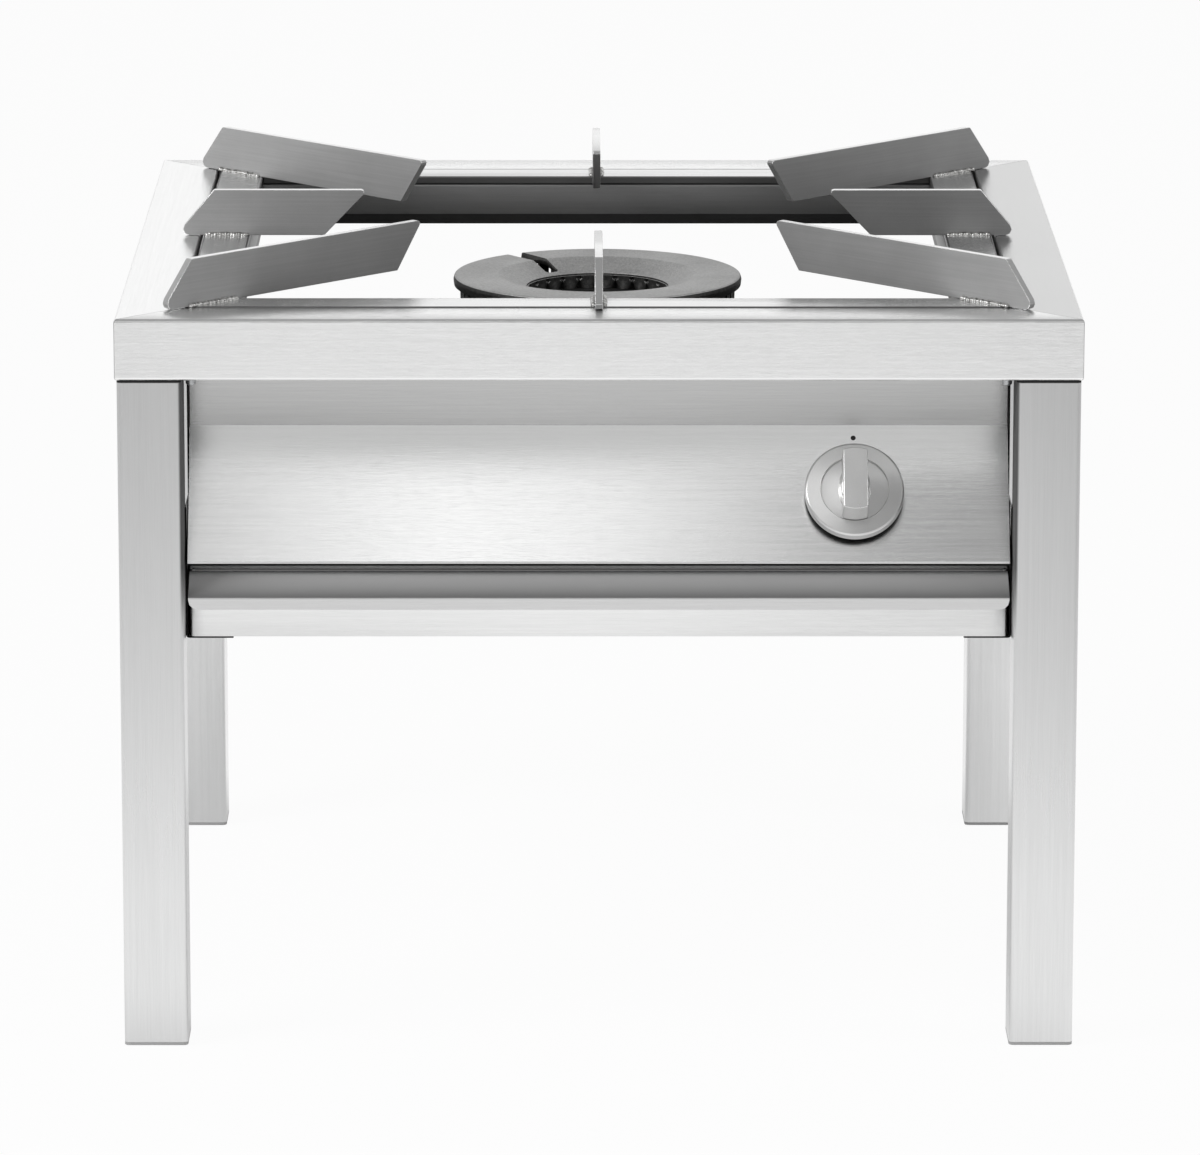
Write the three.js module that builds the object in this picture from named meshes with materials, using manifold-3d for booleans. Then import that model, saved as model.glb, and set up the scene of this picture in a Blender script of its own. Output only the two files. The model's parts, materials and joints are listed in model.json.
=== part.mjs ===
// Free-standing stock pot range with one cast iron gas burner.
// Millimetres, +Z up, +X to the right, front towards -Y, origin on the floor below the middle.

import * as THREE from 'three';
import { mergeVertices } from 'three/addons/utils/BufferGeometryUtils.js';
import Module from 'manifold-3d';

// ---- Fits and sheet -----------------------------------------------------------------------------
const TOUCH = 0.3; // air left between two fitted pieces
const SHEET = 1.2; // stainless sheet of the top frame and the panels
const BEND = 0.8; // inside radius of a fold
const BEND_STEPS = 3; // facets in a fold or a rounded corner

// ---- Top frame: four mitred rails ---------------------------------------------------------------
const WIDTH = 600; // left to right
const DEPTH = 600; // front to back
const GRATE_TOP = 466; // top of the grate's bars above the floor
const SKIRT = 38.7; // outer face of a rail
const TOP_FACE = 40; // flat top of a rail
const BOTTOM_RETURN = 26; // flange turned in under a rail
const WEB = 21; // inner edge, turned down below the ledge
const MITRE_GAP = 0.3; // seam between two rails, and between two grate bars

// ---- Legs ---------------------------------------------------------------------------------------
const LEG = 40; // outside of the square tube
const LEG_WALL = 1.5;
const LEG_CORNER = 3; // outside radius of the tube's corners
const PLUG_FLANGE = 2; // thickness of the plug's flange under the tube
const PLUG_DEPTH = 20; // how far the plug goes into the tube
const PLUG_WALL = 2.5;

// ---- Grate: four flat bars and eight fins -------------------------------------------------------
const BAR_WIDTH = 30;
const BAR_THICK = 5;
const BAR_EDGE = 0.6; // chamfer along the bars' edges
const BAR_PLAY = 2; // air between the bars and the frame's recess
const FIN_THICK = 5;
const FIN_HEIGHT = 30;
const FIN_HEEL = 4; // radius at the outer lower corner
const FIN_TIP = 2; // radius of the upper corners
// Reach of the fins' foot and tip, inwards and outwards from the middle of a bar or corner.
const MIDDLE_FIN = { innerFoot: 64, innerTip: 93, outerTip: 8, outerFoot: 33 };
const CORNER_FIN = { innerFoot: 160, innerTip: 182, outerTip: 17, outerFoot: 42 };

// ---- Side and rear sheets -----------------------------------------------------------------------
const RUNNER_LEVEL = 257; // underside of the flanges that the tray slides on
const RUNNER_WIDTH = 29.8;
const SIDE_TOP = 440; // side sheets' upper edge, hidden behind the skirt
const SIDE_FRONT = 30; // side sheets' lower front edge, behind the frame's front face
const SIDE_STEP = 341; // height above which the front edge steps back
const SIDE_STEP_BACK = 40; // how far it steps back
const SIDE_REAR = 15; // side sheets' rear edge, before the frame's rear face
const REAR_INSET = 28.8; // rear sheet's outer face, before the frame's rear face
const REAR_TOP = 371; // low enough not to show through the frame's opening
const REAR_FLANGE = 12;

// ---- Drip tray ----------------------------------------------------------------------------------
const TRAY_SHEET = 1;
const TRAY_HEIGHT = 43;
const TRAY_PLAY = 1.6; // air between the tray and each side sheet
const TRAY_FRONT = 28; // tray's front wall, behind the frame's front face
const TRAY_REAR_PLAY = 4; // air between the tray and the rear sheet
const TRAY_HEM = 5; // height of the doubled rim
const TRAY_CORNER = 3;
const LIP_REACH = 24; // pull lip, forwards
const LIP_FALL = 12.5; // pull lip, downwards over that reach
const LIP_DROP = 8; // upright nose of the lip
const LIP_CORNER = 6; // radius at the nose's lower ends

// ---- Control panel ------------------------------------------------------------------------------
const PANEL_INSET = 71; // upright strip, behind the frame's front face
const PANEL_PLAY = 0.6; // air between the panel and each side sheet
const PANEL_FOLD = 385; // height of the fold between strip and slanted face
const PANEL_BOTTOM = 305;
const PANEL_LEAN = 33; // slant of the face, degrees from upright
const PANEL_TOP_FLANGE = 61; // flange under the front rail
const PANEL_BOTTOM_FLANGE = 17;
const PANEL_SIDE_FLANGE = 12;
const SCREW_MARGIN = 3.5; // screws that hold the panel's top flange, from its ends
const SCREW_INSET = 18; // and behind the frame's front face
const SCREW_RADIUS = 2;
const SCREW_HEAD_RADIUS = 3.2;
const SCREW_HEAD = 4;
const SCREW_LENGTH = 12;

// ---- Knob ---------------------------------------------------------------------------------------
const KNOB_INSET = 140; // knob's axis, from the frame's right face
const KNOB_DOWN = 48; // below the fold, along the slanted face
const KNOB_RADIUS = 31;
const KNOB_GAP = 4.5; // air under the skirt
const KNOB_SKIRT = 8;
const KNOB_DISH_RADIUS = 21.2;
const KNOB_DISH = 3.2; // depth of the dish inside the flat ring
const KNOB_WALL = 1.8;
const KNOB_EDGE = 0.9; // chamfer along the skirt's edges
const KNOB_SIDES = 36;
const GRIP_WIDTH = 16;
const GRIP_TAPER = 0.96; // share of the grip's width left at its top
const GRIP_HEIGHT = 20; // above the flat ring
const GRIP_CHEEK = 12; // half width of the swelling beside the grip
const GRIP_CHEEK_HEIGHT = 5.5;
const GRIP_CHEEK_TAPER = 0.68; // share of the swelling's width left at its top
const PUSH = 3.5; // travel of knob and spindle when pushed
const TURNED_SIDES = 20; // facets of small turned pieces
const HEX_SIDES = 6;

// ---- Gas valve, in the slanted face's own frame -------------------------------------------------
const VALVE_WIDTH = 24;
const VALVE_DEPTH = 55; // from the slanted face to the valve's rear end
const BUSH_RADIUS = 7; // threaded neck through the panel
const BUSH_LENGTH = 3.2; // in front of the panel
const NUT_SIZE = 19; // across flats
const NUT_THICK = 2.6;
const SPINDLE_RADIUS = 4;
const SPINDLE_FRONT = 26;
const SPINDLE_REAR = 27;
const SPINDLE_FLAT = 1.5; // depth of the flat that turns the knob
const PLUG_RADIUS = 8;
const PLUG_FRONT = 19.3;
const PLUG_REAR = 50.7;
const PLUG_SOCKET = 13;
const PORT_RADIUS = 3;
const INLET_DEPTH = 30; // places of the valve's ports behind the slanted face
const OUTLET_DEPTH = 47;
const PILOT_PORT_DEPTH = 22;
const MAGNET_DEPTH = 40;
const MAGNET_RADIUS = 8;
const MAGNET_LENGTH = 28;
const MAGNET_NUT = 8;
const FITTING = 10; // length of the inlet and outlet fittings
const INLET_FITTING_RADIUS = 8;
const OUTLET_FITTING_RADIUS = 6.5;
const PILOT_FITTING = 8;
const PILOT_FITTING_RADIUS = 4;

// ---- Burner -------------------------------------------------------------------------------------
const BURNER_TOP = 440;
const CAP_SIDES = 60; // facets of the cap, one for each outer port
const BOWL_SIDES = 32;
const CAP_RADIUS = 94.5;
const CAP_RIM = 7; // thickness at the rim
const CAP_FLAT = 65; // inner radius of the flat ring
const CAP_EYE = 46; // radius of the middle opening
const CAP_DISH = 8; // fall of the dish from flat ring to opening
const CAP_WALL = 4.5;
const CAP_OUTER_SKIRT = 7.5; // depth of the toothed skirt below the rim
const CAP_INNER_SKIRT = 10; // depth of the pierced skirt below the opening's edge
const CAP_SKIRT_WALL = 4;
const CAP_SLOT_WIDTH = 10; // slot for the pilot flame
const CAP_SLOT_ANGLE = 126; // degrees from +X
const CAP_BRIDGE = 4; // metal left between the slot and the opening
const OUTER_PORTS = 60;
const OUTER_PORT_WIDTH = 2.6;
const INNER_PORTS = 24;
const INNER_PORT_RADIUS = 1.6;
const INNER_PORT_SIDES = 4;
const INNER_NOTCH_WIDTH = 6;
const INNER_NOTCH_HEIGHT = 5;
const BOWL_RADIUS = 90;
const BOWL_FLOOR_RADIUS = 66;
const BOWL_WALL = 5.5;
const BOWL_EYE = 40; // radius of the bowl's middle opening
const BOWL_BOTTOM = 395;
const EAR_WIDTH = 20; // bolting ears
const EAR_INSET = 14; // bolts, left and right, inside the bowl's radius
const BOLT_RADIUS = 3;
const BOLT_HEAD_SIZE = 10;
const BOLT_HEAD = 4;
const BOLT_LENGTH = 14;
const TUBE_RISE = 16; // mixing tube's axis above the bowl's underside
const TUBE_RADIUS = 14;
const TUBE_BORE = 11;
const TUBE_THROAT = 10;
const TUBE_WALL = 3.5;
const MOUTH_RADIUS = 24;
const MOUTH_PLATE = 4;
const MOUTH_LENGTH = 12;
const AIR_HOLES = 4;
const AIR_HOLE_RADIUS = 4.8;
const AIR_HOLE_CIRCLE = 13;
const AIR_HOLE_SIDES = 16;
const SHUTTER_THICK = 2;
const SHUTTER_TAB = 9; // finger tab beyond the disc
const SHUTTER_TAB_WIDTH = 8;
const INJECTOR_RADIUS = 5;
const INJECTOR_HEX = 12;
const INJECTOR_HEX_LENGTH = 10;
const INJECTOR_NOSE = 8; // length behind the mouth plate
const JET_RADIUS = 0.8;
const ELBOW = 14; // side of the elbow's block
const ELBOW_NUT = 14;
const ELBOW_NUT_LENGTH = 10;

// ---- Cross rails under the burner ---------------------------------------------------------------
const CROSS_RAIL_Y = 62; // from the middle, to the front and to the rear
const CROSS_RAIL_WIDTH = 30;
const CROSS_RAIL_HEIGHT = 25;
const CROSS_RAIL_SHEET = 2;

// ---- Pipes and inlet ----------------------------------------------------------------------------
const PIPE_SIDES = 12;
const PIPE_BEND_STEPS = 4;
const THIN_SIDES = 6; // facets of the pilot's tube and the thermocouple's lead
const FEED_RADIUS = 4;
const FEED_BORE = 3;
const FEED_BEND = 25;
const SUPPLY_RADIUS = 6;
const SUPPLY_BORE = 5;
const SUPPLY_BEND = 20;
const SUPPLY_LEVEL = 357;
const NIPPLE_RADIUS = 10.4; // R 1/2 thread
const NIPPLE_BORE = 7;
const NIPPLE_END = 1; // outer end, before the frame's rear face
const NIPPLE_TAIL = 18; // length in front of the rear sheet
const NIPPLE_HEX = 27;
const NIPPLE_HEX_LENGTH = 8;
const INLET_NUT = 27;
const INLET_NUT_LENGTH = 6;
const CLIP_WIDTH = 12;
const CLIP_BAND = 2;
const CLIP_TAB = 18; // height of the tab above the band
const CLIP_SIDES = 18;

// ---- Pilot --------------------------------------------------------------------------------------
const PILOT_RADIUS = 108; // place of the pilot, from the burner's middle
const PILOT_TOP = 426;
const PILOT_BODY_RADIUS = 4;
const PILOT_NECK_RADIUS = 3;
const PILOT_FLAME_RADIUS = 1; // hole in the hood's top
const PILOT_HOOD_RADIUS = 5;
const PILOT_HOOD = 14; // height of the hood
const PILOT_NUT = 12; // length below the bracket
const PILOT_TUBE_RADIUS = 2;
const PILOT_TUBE_LEVEL = 345;
const THIN_BEND = 18; // bends of the pilot's tube and the thermocouple's lead
const THERMO_SPACING = 13; // thermocouple beside the pilot
const THERMO_TOP = 431;
const THERMO_RADIUS = 2.6;
const THERMO_TAIL = 18; // length below the bracket
const LEAD_RADIUS = 1.5;
const LEAD_LEVEL = 336;
const LEAD_REACH = 19.7; // how far the lead runs to the right of the magnet unit
const BRACKET_SHEET = 1.5;
const BRACKET_LEVEL = 392; // underside of the bracket's shelf
const BRACKET_SHELF = 31;
const BRACKET_DROP = 19;
const BRACKET_MARGIN = 13; // shelf beyond pilot and thermocouple

// ---- Places that follow from the sizes ----------------------------------------------------------
const FRONT = -DEPTH / 2;
const REAR = DEPTH / 2;
const FRAME_TOP = GRATE_TOP - TOUCH;
const FRAME_BOTTOM = FRAME_TOP - SKIRT;
const LEDGE_TOP = GRATE_TOP - BAR_THICK;
const LEDGE_INSET = TOP_FACE + BAR_PLAY + BAR_WIDTH; // inner edge of ledge and bars
const BAR_MIDDLE = LEDGE_INSET - BAR_WIDTH / 2;
const LEG_X = WIDTH / 2 - SHEET - LEG / 2;
const LEG_Y = DEPTH / 2 - SHEET - LEG / 2;
const LEG_TOP = LEDGE_TOP - SHEET - TOUCH;
const SIDE_FACE = LEG_X - LEG / 2; // side sheets' outer face, on the legs
const INSIDE = SIDE_FACE - SHEET; // side sheets' inner face
const RUNNER_TOP = RUNNER_LEVEL + SHEET;
const REAR_FACE = REAR - REAR_INSET;
const TRAY_X = INSIDE - TRAY_PLAY;
const TRAY_BOTTOM = RUNNER_TOP + TOUCH;
const TRAY_TOP = TRAY_BOTTOM + TRAY_HEIGHT;
const PANEL_X = INSIDE - PANEL_PLAY;
const SCREW_X = PANEL_X - SCREW_MARGIN;
const KNOB_X = WIDTH / 2 - KNOB_INSET;
const STRIP_Y = FRONT + PANEL_INSET;
const LEAN = THREE.MathUtils.degToRad(PANEL_LEAN);
const FLANGE_LEVEL = FRAME_BOTTOM - TOUCH - SHEET; // underside of the panel's top flange
const EAR_X = BOWL_RADIUS - EAR_INSET;
const CROSS_RAIL_TOP = BOWL_BOTTOM - TOUCH;
const CROSS_RAIL_FACE = CROSS_RAIL_Y + CROSS_RAIL_WIDTH / 2;
const CAP_EYE_TOP = BURNER_TOP - CAP_DISH;
const OUTER_SKIRT_BOTTOM = BURNER_TOP - CAP_RIM - CAP_OUTER_SKIRT;
const INNER_SKIRT_BOTTOM = CAP_EYE_TOP - CAP_INNER_SKIRT;
const TUBE_AXIS = BOWL_BOTTOM + TUBE_RISE;

const QUARTER = Math.PI / 2;
const AXIS_X = new THREE.Vector3(1, 0, 0);
const AXIS_Y = new THREE.Vector3(0, 1, 0);
const AXIS_Z = new THREE.Vector3(0, 0, 1);

// The slanted face's frame: +X right, +Y up the slant, +Z out of the panel, origin under the knob.
const slant = new THREE.Group();
slant.position.set(
  KNOB_X, STRIP_Y - KNOB_DOWN * Math.sin(LEAN), PANEL_FOLD - KNOB_DOWN * Math.cos(LEAN));
slant.rotation.x = QUARTER - LEAN;
slant.updateMatrix();

/** A point of the slanted face's frame, in the range's frame. */
const fromSlant = (x, y, z) => new THREE.Vector3(x, y, z).applyMatrix4(slant.matrix);

const INLET_PORT = fromSlant(0, VALVE_WIDTH / 2 + FITTING, -INLET_DEPTH);
const OUTLET_PORT = fromSlant(-VALVE_WIDTH / 2 - FITTING, 0, -OUTLET_DEPTH);
const PILOT_PORT = fromSlant(-VALVE_WIDTH / 2 - PILOT_FITTING, 0, -PILOT_PORT_DEPTH);
const MAGNET_PORT = fromSlant(
  VALVE_WIDTH / 2 + TOUCH + MAGNET_LENGTH + MAGNET_NUT, 0, -MAGNET_DEPTH);
const LEAD_SIDE = MAGNET_PORT.x + LEAD_REACH;

// The elbow stands over the valve's outlet; the injector, the shutter and the mouth follow behind it.
const ELBOW_Y = OUTLET_PORT.y;
const HEX_FRONT = ELBOW_Y + ELBOW / 2 + TOUCH;
const HEX_REAR = HEX_FRONT + INJECTOR_HEX_LENGTH;
const SHUTTER_FRONT = HEX_REAR + TOUCH;
const MOUTH_FRONT = SHUTTER_FRONT + SHUTTER_THICK + TOUCH;

const PILOT_ANGLE = THREE.MathUtils.degToRad(CAP_SLOT_ANGLE);
const PILOT_X = PILOT_RADIUS * Math.cos(PILOT_ANGLE);
const PILOT_Y = PILOT_RADIUS * Math.sin(PILOT_ANGLE);
const THERMO_X = PILOT_X + THERMO_SPACING * Math.sin(PILOT_ANGLE);
const THERMO_Y = PILOT_Y - THERMO_SPACING * Math.cos(PILOT_ANGLE);

// ---- Materials ----------------------------------------------------------------------------------
const material = (color, roughness, metalness) =>
  new THREE.MeshStandardMaterial({ color, roughness, metalness });
const BRUSHED = material(0xd6d8d8, 0.34, 1);
const BAR_STEEL = material(0x9b9d9c, 0.4, 1);
const ZINC = material(0xb4b6b6, 0.42, 1);
const CAST_IRON = material(0x9b9b99, 0.75, 0.6);
const DARK_IRON = material(0x3f3f3e, 0.8, 0.5);
const BRASS = material(0xc2a04c, 0.35, 1);
const COPPER = material(0xb9704a, 0.4, 1);
const SATIN_SILVER = material(0xb9b9b8, 0.38, 0.6);
const GREY_PLASTIC = material(0x9a9b9c, 0.6, 0);

// ---- Joining and cutting ------------------------------------------------------------------------
const wasm = await Module();
wasm.setup();

/** A closed geometry as a solid that can be joined and cut. */
function solidOf(geometry) {
  const bare = geometry.clone();
  bare.deleteAttribute('normal');
  bare.deleteAttribute('uv');
  const merged = mergeVertices(bare);
  const triVerts = [];
  for (let i = 0; i < merged.index.count; i += 3) {
    const [a, b, c] = [0, 1, 2].map((k) => merged.index.getX(i + k));
    if (a !== b && b !== c && c !== a) triVerts.push(a, b, c);
  }
  return new wasm.Manifold(new wasm.Mesh({
    numProp: 3,
    vertProperties: Float32Array.from(merged.attributes.position.array),
    triVerts: Uint32Array.from(triVerts),
  }));
}

/** The geometry of a solid. */
function geometryOf(solid) {
  const mesh = solid.getMesh();
  const geometry = new THREE.BufferGeometry();
  geometry.setAttribute('position', new THREE.BufferAttribute(mesh.vertProperties, 3));
  geometry.setIndex(new THREE.BufferAttribute(mesh.triVerts, 1));
  geometry.computeVertexNormals();
  return geometry;
}

const join = (first, ...others) =>
  geometryOf(others.reduce((whole, other) => whole.add(solidOf(other)), solidOf(first)));

const cut = (body, ...tools) =>
  geometryOf(tools.reduce((rest, tool) => rest.subtract(solidOf(tool)), solidOf(body)));

const overlap = (first, second) => geometryOf(solidOf(first).intersect(solidOf(second)));

// ---- Outlines -----------------------------------------------------------------------------------
const at = (x, y) => new THREE.Vector2(x, y);
const leftOf = (along) => at(-along.y, along.x);
const toward = (from, to) => to.clone().sub(from).normalize();

/** The points of the round that takes the place of a corner. */
function fillet(before, corner, after, radius) {
  const into = toward(before, corner);
  const out = toward(corner, after);
  const turn = Math.atan2(into.cross(out), into.dot(out));
  const start = corner.clone().addScaledVector(into, -radius * Math.tan(Math.abs(turn) / 2));
  const centre = start.clone().addScaledVector(leftOf(into), Math.sign(turn) * radius);
  return Array.from({ length: BEND_STEPS + 1 }, (_, k) =>
    start.clone().rotateAround(centre, (turn * k) / BEND_STEPS));
}

/** A closed outline with each corner rounded by its own radius; zero leaves it sharp. */
function rounded(corners, radii) {
  return corners.flatMap((corner, i) => {
    const next = corners[(i + 1) % corners.length];
    return radii[i] > 0 ? fillet(corners.at(i - 1), corner, next, radii[i]) : [corner];
  });
}

/** The outline of a folded sheet. `face` is one of its faces, and the metal lies to its left. */
function folded(face, thickness = SHEET) {
  const last = face.length - 1;
  const sideOf = (i) => leftOf(toward(face[Math.max(i, 1) - 1], face[Math.max(i, 1)]));
  const back = face.map((corner, i) => {
    const before = sideOf(i);
    const after = sideOf(Math.min(i + 1, last));
    const reach = thickness / (1 + before.dot(after));
    return corner.clone().addScaledVector(before, reach).addScaledVector(after, reach);
  });
  const bend = (line, i, leftRadius, rightRadius) => {
    if (i === 0 || i === last) return [line[i]];
    const turnsLeft = toward(line[i - 1], line[i]).cross(toward(line[i], line[i + 1])) > 0;
    return fillet(line[i - 1], line[i], line[i + 1], turnsLeft ? leftRadius : rightRadius);
  };
  const near = face.flatMap((_, i) => bend(face, i, BEND + thickness, BEND));
  const far = back.flatMap((_, i) => bend(back, i, BEND, BEND + thickness));
  return [...near, ...far.reverse()];
}

/** A regular outline: a circle in facets, or a hexagon for a nut. */
const circle = (radius, sides = TURNED_SIDES) =>
  Array.from({ length: sides }, (_, k) =>
    at(radius, 0).rotateAround(at(0, 0), (2 * Math.PI * k) / sides));
const hexagon = (acrossFlats) => circle(acrossFlats / 2 / Math.cos(Math.PI / HEX_SIDES), HEX_SIDES);

const rectangle = (x0, x1, y0, y1) => [at(x0, y0), at(x1, y0), at(x1, y1), at(x0, y1)];
const square = (side, radius) =>
  rounded(rectangle(-side / 2, side / 2, -side / 2, side / 2), Array(4).fill(radius));
const mirrored = (outline) => outline.map(({ x, y }) => at(-x, y));
const shifted = (outline, x, y) => outline.map((point) => at(point.x + x, point.y + y));

// ---- Solids from outlines -----------------------------------------------------------------------
function extrude(outline, depth, holes) {
  const shape = new THREE.Shape(outline);
  shape.holes = holes.map((hole) => new THREE.Path(hole));
  return new THREE.ExtrudeGeometry(shape, { depth, bevelEnabled: false });
}

/** An outline drawn in (x, y), extruded upwards. */
const alongZ = (outline, low, high, holes = []) =>
  extrude(outline, high - low, holes).translate(0, 0, low);

/** An outline drawn in (x, z), extruded to the rear. */
const alongY = (outline, front, rear, holes = []) =>
  extrude(outline, rear - front, holes).rotateX(QUARTER).translate(0, rear, 0);

/** An outline drawn in (y, z), extruded to the right. */
const alongX = (outline, left, right, holes = []) =>
  extrude(outline, right - left, holes)
    .applyMatrix4(new THREE.Matrix4().makeBasis(AXIS_Y, AXIS_Z, AXIS_X))
    .translate(left, 0, 0);

/** A block between two corners. */
const block = (x0, x1, y0, y1, z0, z1) =>
  new THREE.BoxGeometry(x1 - x0, y1 - y0, z1 - z0)
    .translate((x0 + x1) / 2, (y0 + y1) / 2, (z0 + z1) / 2);

/** A solid turned about Z from its section, drawn as (radius, z). */
function turned(section, sides = TURNED_SIDES) {
  const loop = THREE.ShapeUtils.area(section) < 0 ? [...section].reverse() : [...section];
  if (loop[0].x > 0) loop.push(loop[0].clone());
  return new THREE.LatheGeometry(loop, sides).rotateX(QUARTER);
}

/** A turned solid whose axis points to the front, for sections drawn as (radius, -y). */
const turnedForward = (section, sides) => turned(section, sides).rotateX(QUARTER);

/** A bar along X with mitred ends, from its section drawn as (inset from the outside, z). */
function mitredBar(section, length) {
  const bar = alongX(section, 0, 1);
  const points = bar.attributes.position;
  for (let i = 0; i < points.count; i++) {
    const reach = length / 2 - points.getY(i) - MITRE_GAP / Math.SQRT2;
    points.setX(i, points.getX(i) < 0.5 ? -reach : reach);
  }
  return bar;
}

/** The centre line of a bent pipe: straight runs joined by arcs of one radius. */
class PipeLine extends THREE.Curve {
  constructor(corners, radius) {
    super();
    const runs = corners.slice(1).map((corner, i) => toward(corners[i], corner));
    this.stations = [{ point: corners[0], along: runs[0] }];
    for (let i = 1; i < corners.length - 1; i++) this.addBend(corners[i], runs[i - 1], runs[i], radius);
    this.stations.push({ point: corners.at(-1), along: runs.at(-1) });
  }

  addBend(corner, into, out, radius) {
    const turn = into.angleTo(out);
    const inward = out.clone().addScaledVector(into, -into.dot(out)).normalize();
    const start = corner.clone().addScaledVector(into, -radius * Math.tan(turn / 2));
    for (let k = 0; k <= PIPE_BEND_STEPS; k++) {
      const angle = (turn * k) / PIPE_BEND_STEPS;
      this.stations.push({
        point: start.clone()
          .addScaledVector(into, radius * Math.sin(angle))
          .addScaledVector(inward, radius * (1 - Math.cos(angle))),
        along: into.clone().multiplyScalar(Math.cos(angle)).addScaledVector(inward, Math.sin(angle)),
      });
    }
  }

  get steps() { return this.stations.length - 1; }

  station(share) { return this.stations[Math.round(share * this.steps)]; }

  getPointAt(share) { return this.station(share).point.clone(); }

  getTangentAt(share) { return this.station(share).along.clone(); }
}

/** A bent pipe, or a bent rod where it has no bore. */
function pipe(corners, bendRadius, radius, bore = 0, sides = PIPE_SIDES) {
  const line = new PipeLine(corners, bendRadius);
  const shape = new THREE.Shape(circle(radius, sides));
  if (bore > 0) shape.holes = [new THREE.Path(circle(bore, sides))];
  return new THREE.ExtrudeGeometry(shape, { extrudePath: line, steps: line.steps, bevelEnabled: false });
}

// ---- Assembly -----------------------------------------------------------------------------------
const range = new THREE.Group();
range.add(slant);

/** Adds a named piece to the range or to one of its groups. */
function piece(name, geometry, finish, parent = range) {
  const mesh = new THREE.Mesh(geometry, finish);
  mesh.name = name;
  parent.add(mesh);
  return mesh;
}

// The four sides, each turned so that its own +Y points inwards.
const FRAME_SIDES = [
  { name: 'front', turn: 0, x: 0, y: FRONT, length: WIDTH },
  { name: 'right', turn: QUARTER, x: WIDTH / 2, y: 0, length: DEPTH },
  { name: 'rear', turn: 2 * QUARTER, x: 0, y: REAR, length: WIDTH },
  { name: 'left', turn: -QUARTER, x: -WIDTH / 2, y: 0, length: DEPTH },
];
const CORNERS = [
  { name: 'front_left', x: -1, y: -1 },
  { name: 'front_right', x: 1, y: -1 },
  { name: 'rear_left', x: -1, y: 1 },
  { name: 'rear_right', x: 1, y: 1 },
];

// ---- Top frame ----------------------------------------------------------------------------------
/** A rail of the top frame: web, ledge, recess, flat top, skirt and bottom return in one fold. */
function frameRail(side) {
  const section = folded([
    at(LEDGE_INSET, LEDGE_TOP - WEB),
    at(LEDGE_INSET, LEDGE_TOP),
    at(TOP_FACE, LEDGE_TOP),
    at(TOP_FACE, FRAME_TOP),
    at(0, FRAME_TOP),
    at(0, FRAME_BOTTOM),
    at(BOTTOM_RETURN, FRAME_BOTTOM),
  ]);
  const legSpace = side.length / 2 - SHEET - LEG - TOUCH;
  const returnTop = FRAME_BOTTOM + SHEET + BEND + TOUCH;
  const notches = [-1, 1].map((end) => block(
    Math.min(end * legSpace, end * side.length), Math.max(end * legSpace, end * side.length),
    SHEET, BOTTOM_RETURN + TOUCH, FRAME_BOTTOM - TOUCH, returnTop));
  const screwHoles = side.name === 'front'
    ? [-1, 1].map((end) => alongZ(
      shifted(circle(SCREW_RADIUS + TOUCH, PIPE_SIDES), end * SCREW_X, SCREW_INSET),
      FRAME_BOTTOM - TOUCH, returnTop))
    : [];
  return cut(mitredBar(section, side.length), ...notches, ...screwHoles);
}

for (const side of FRAME_SIDES) {
  const rail = piece(`frame_rail_${side.name}`, frameRail(side), BRUSHED);
  rail.position.set(side.x, side.y, 0);
  rail.rotation.z = side.turn;
}

// ---- Legs and foot plugs ------------------------------------------------------------------------
function legTube() {
  const bore = square(LEG - 2 * LEG_WALL, LEG_CORNER - LEG_WALL);
  return alongZ(square(LEG, LEG_CORNER), PLUG_FLANGE, LEG_TOP, [bore]);
}

function footPlug() {
  const stem = LEG - 2 * LEG_WALL - 2 * TOUCH;
  const stemCorner = LEG_CORNER - LEG_WALL;
  const wellHalf = stem / 2 - PLUG_WALL;
  const well = rectangle(-wellHalf, wellHalf, -wellHalf, wellHalf);
  const stemTop = PLUG_FLANGE + PLUG_DEPTH;
  return cut(
    join(alongZ(square(LEG, LEG_CORNER), 0, PLUG_FLANGE), alongZ(square(stem, stemCorner), 0, stemTop)),
    alongZ(well, PLUG_FLANGE, stemTop + TOUCH));
}

for (const corner of CORNERS) {
  const leg = piece(`leg_${corner.name}`, legTube(), BRUSHED);
  leg.position.set(corner.x * LEG_X, corner.y * LEG_Y, 0);
  const plug = piece(`foot_plug_${corner.name}`, footPlug(), GREY_PLASTIC);
  plug.position.copy(leg.position);
}

// ---- Grate --------------------------------------------------------------------------------------
function grateBar(side) {
  const chamfer = BAR_EDGE;
  const [outer, inner] = [LEDGE_INSET - BAR_WIDTH, LEDGE_INSET];
  return mitredBar([
    at(outer, LEDGE_TOP), at(inner, LEDGE_TOP),
    at(inner, GRATE_TOP - chamfer), at(inner - chamfer, GRATE_TOP),
    at(outer + chamfer, GRATE_TOP), at(outer, GRATE_TOP - chamfer),
  ], side.length);
}

/** An upright fin, drawn with its own +X pointing outwards and its foot at z = 0. */
function fin({ innerFoot, innerTip, outerTip, outerFoot }) {
  const outline = rounded(
    [at(-innerFoot, 0), at(outerFoot, 0), at(outerTip, FIN_HEIGHT), at(-innerTip, FIN_HEIGHT)],
    [0, FIN_HEEL, FIN_TIP, FIN_TIP]);
  return alongY(outline, -FIN_THICK / 2, FIN_THICK / 2);
}

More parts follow.
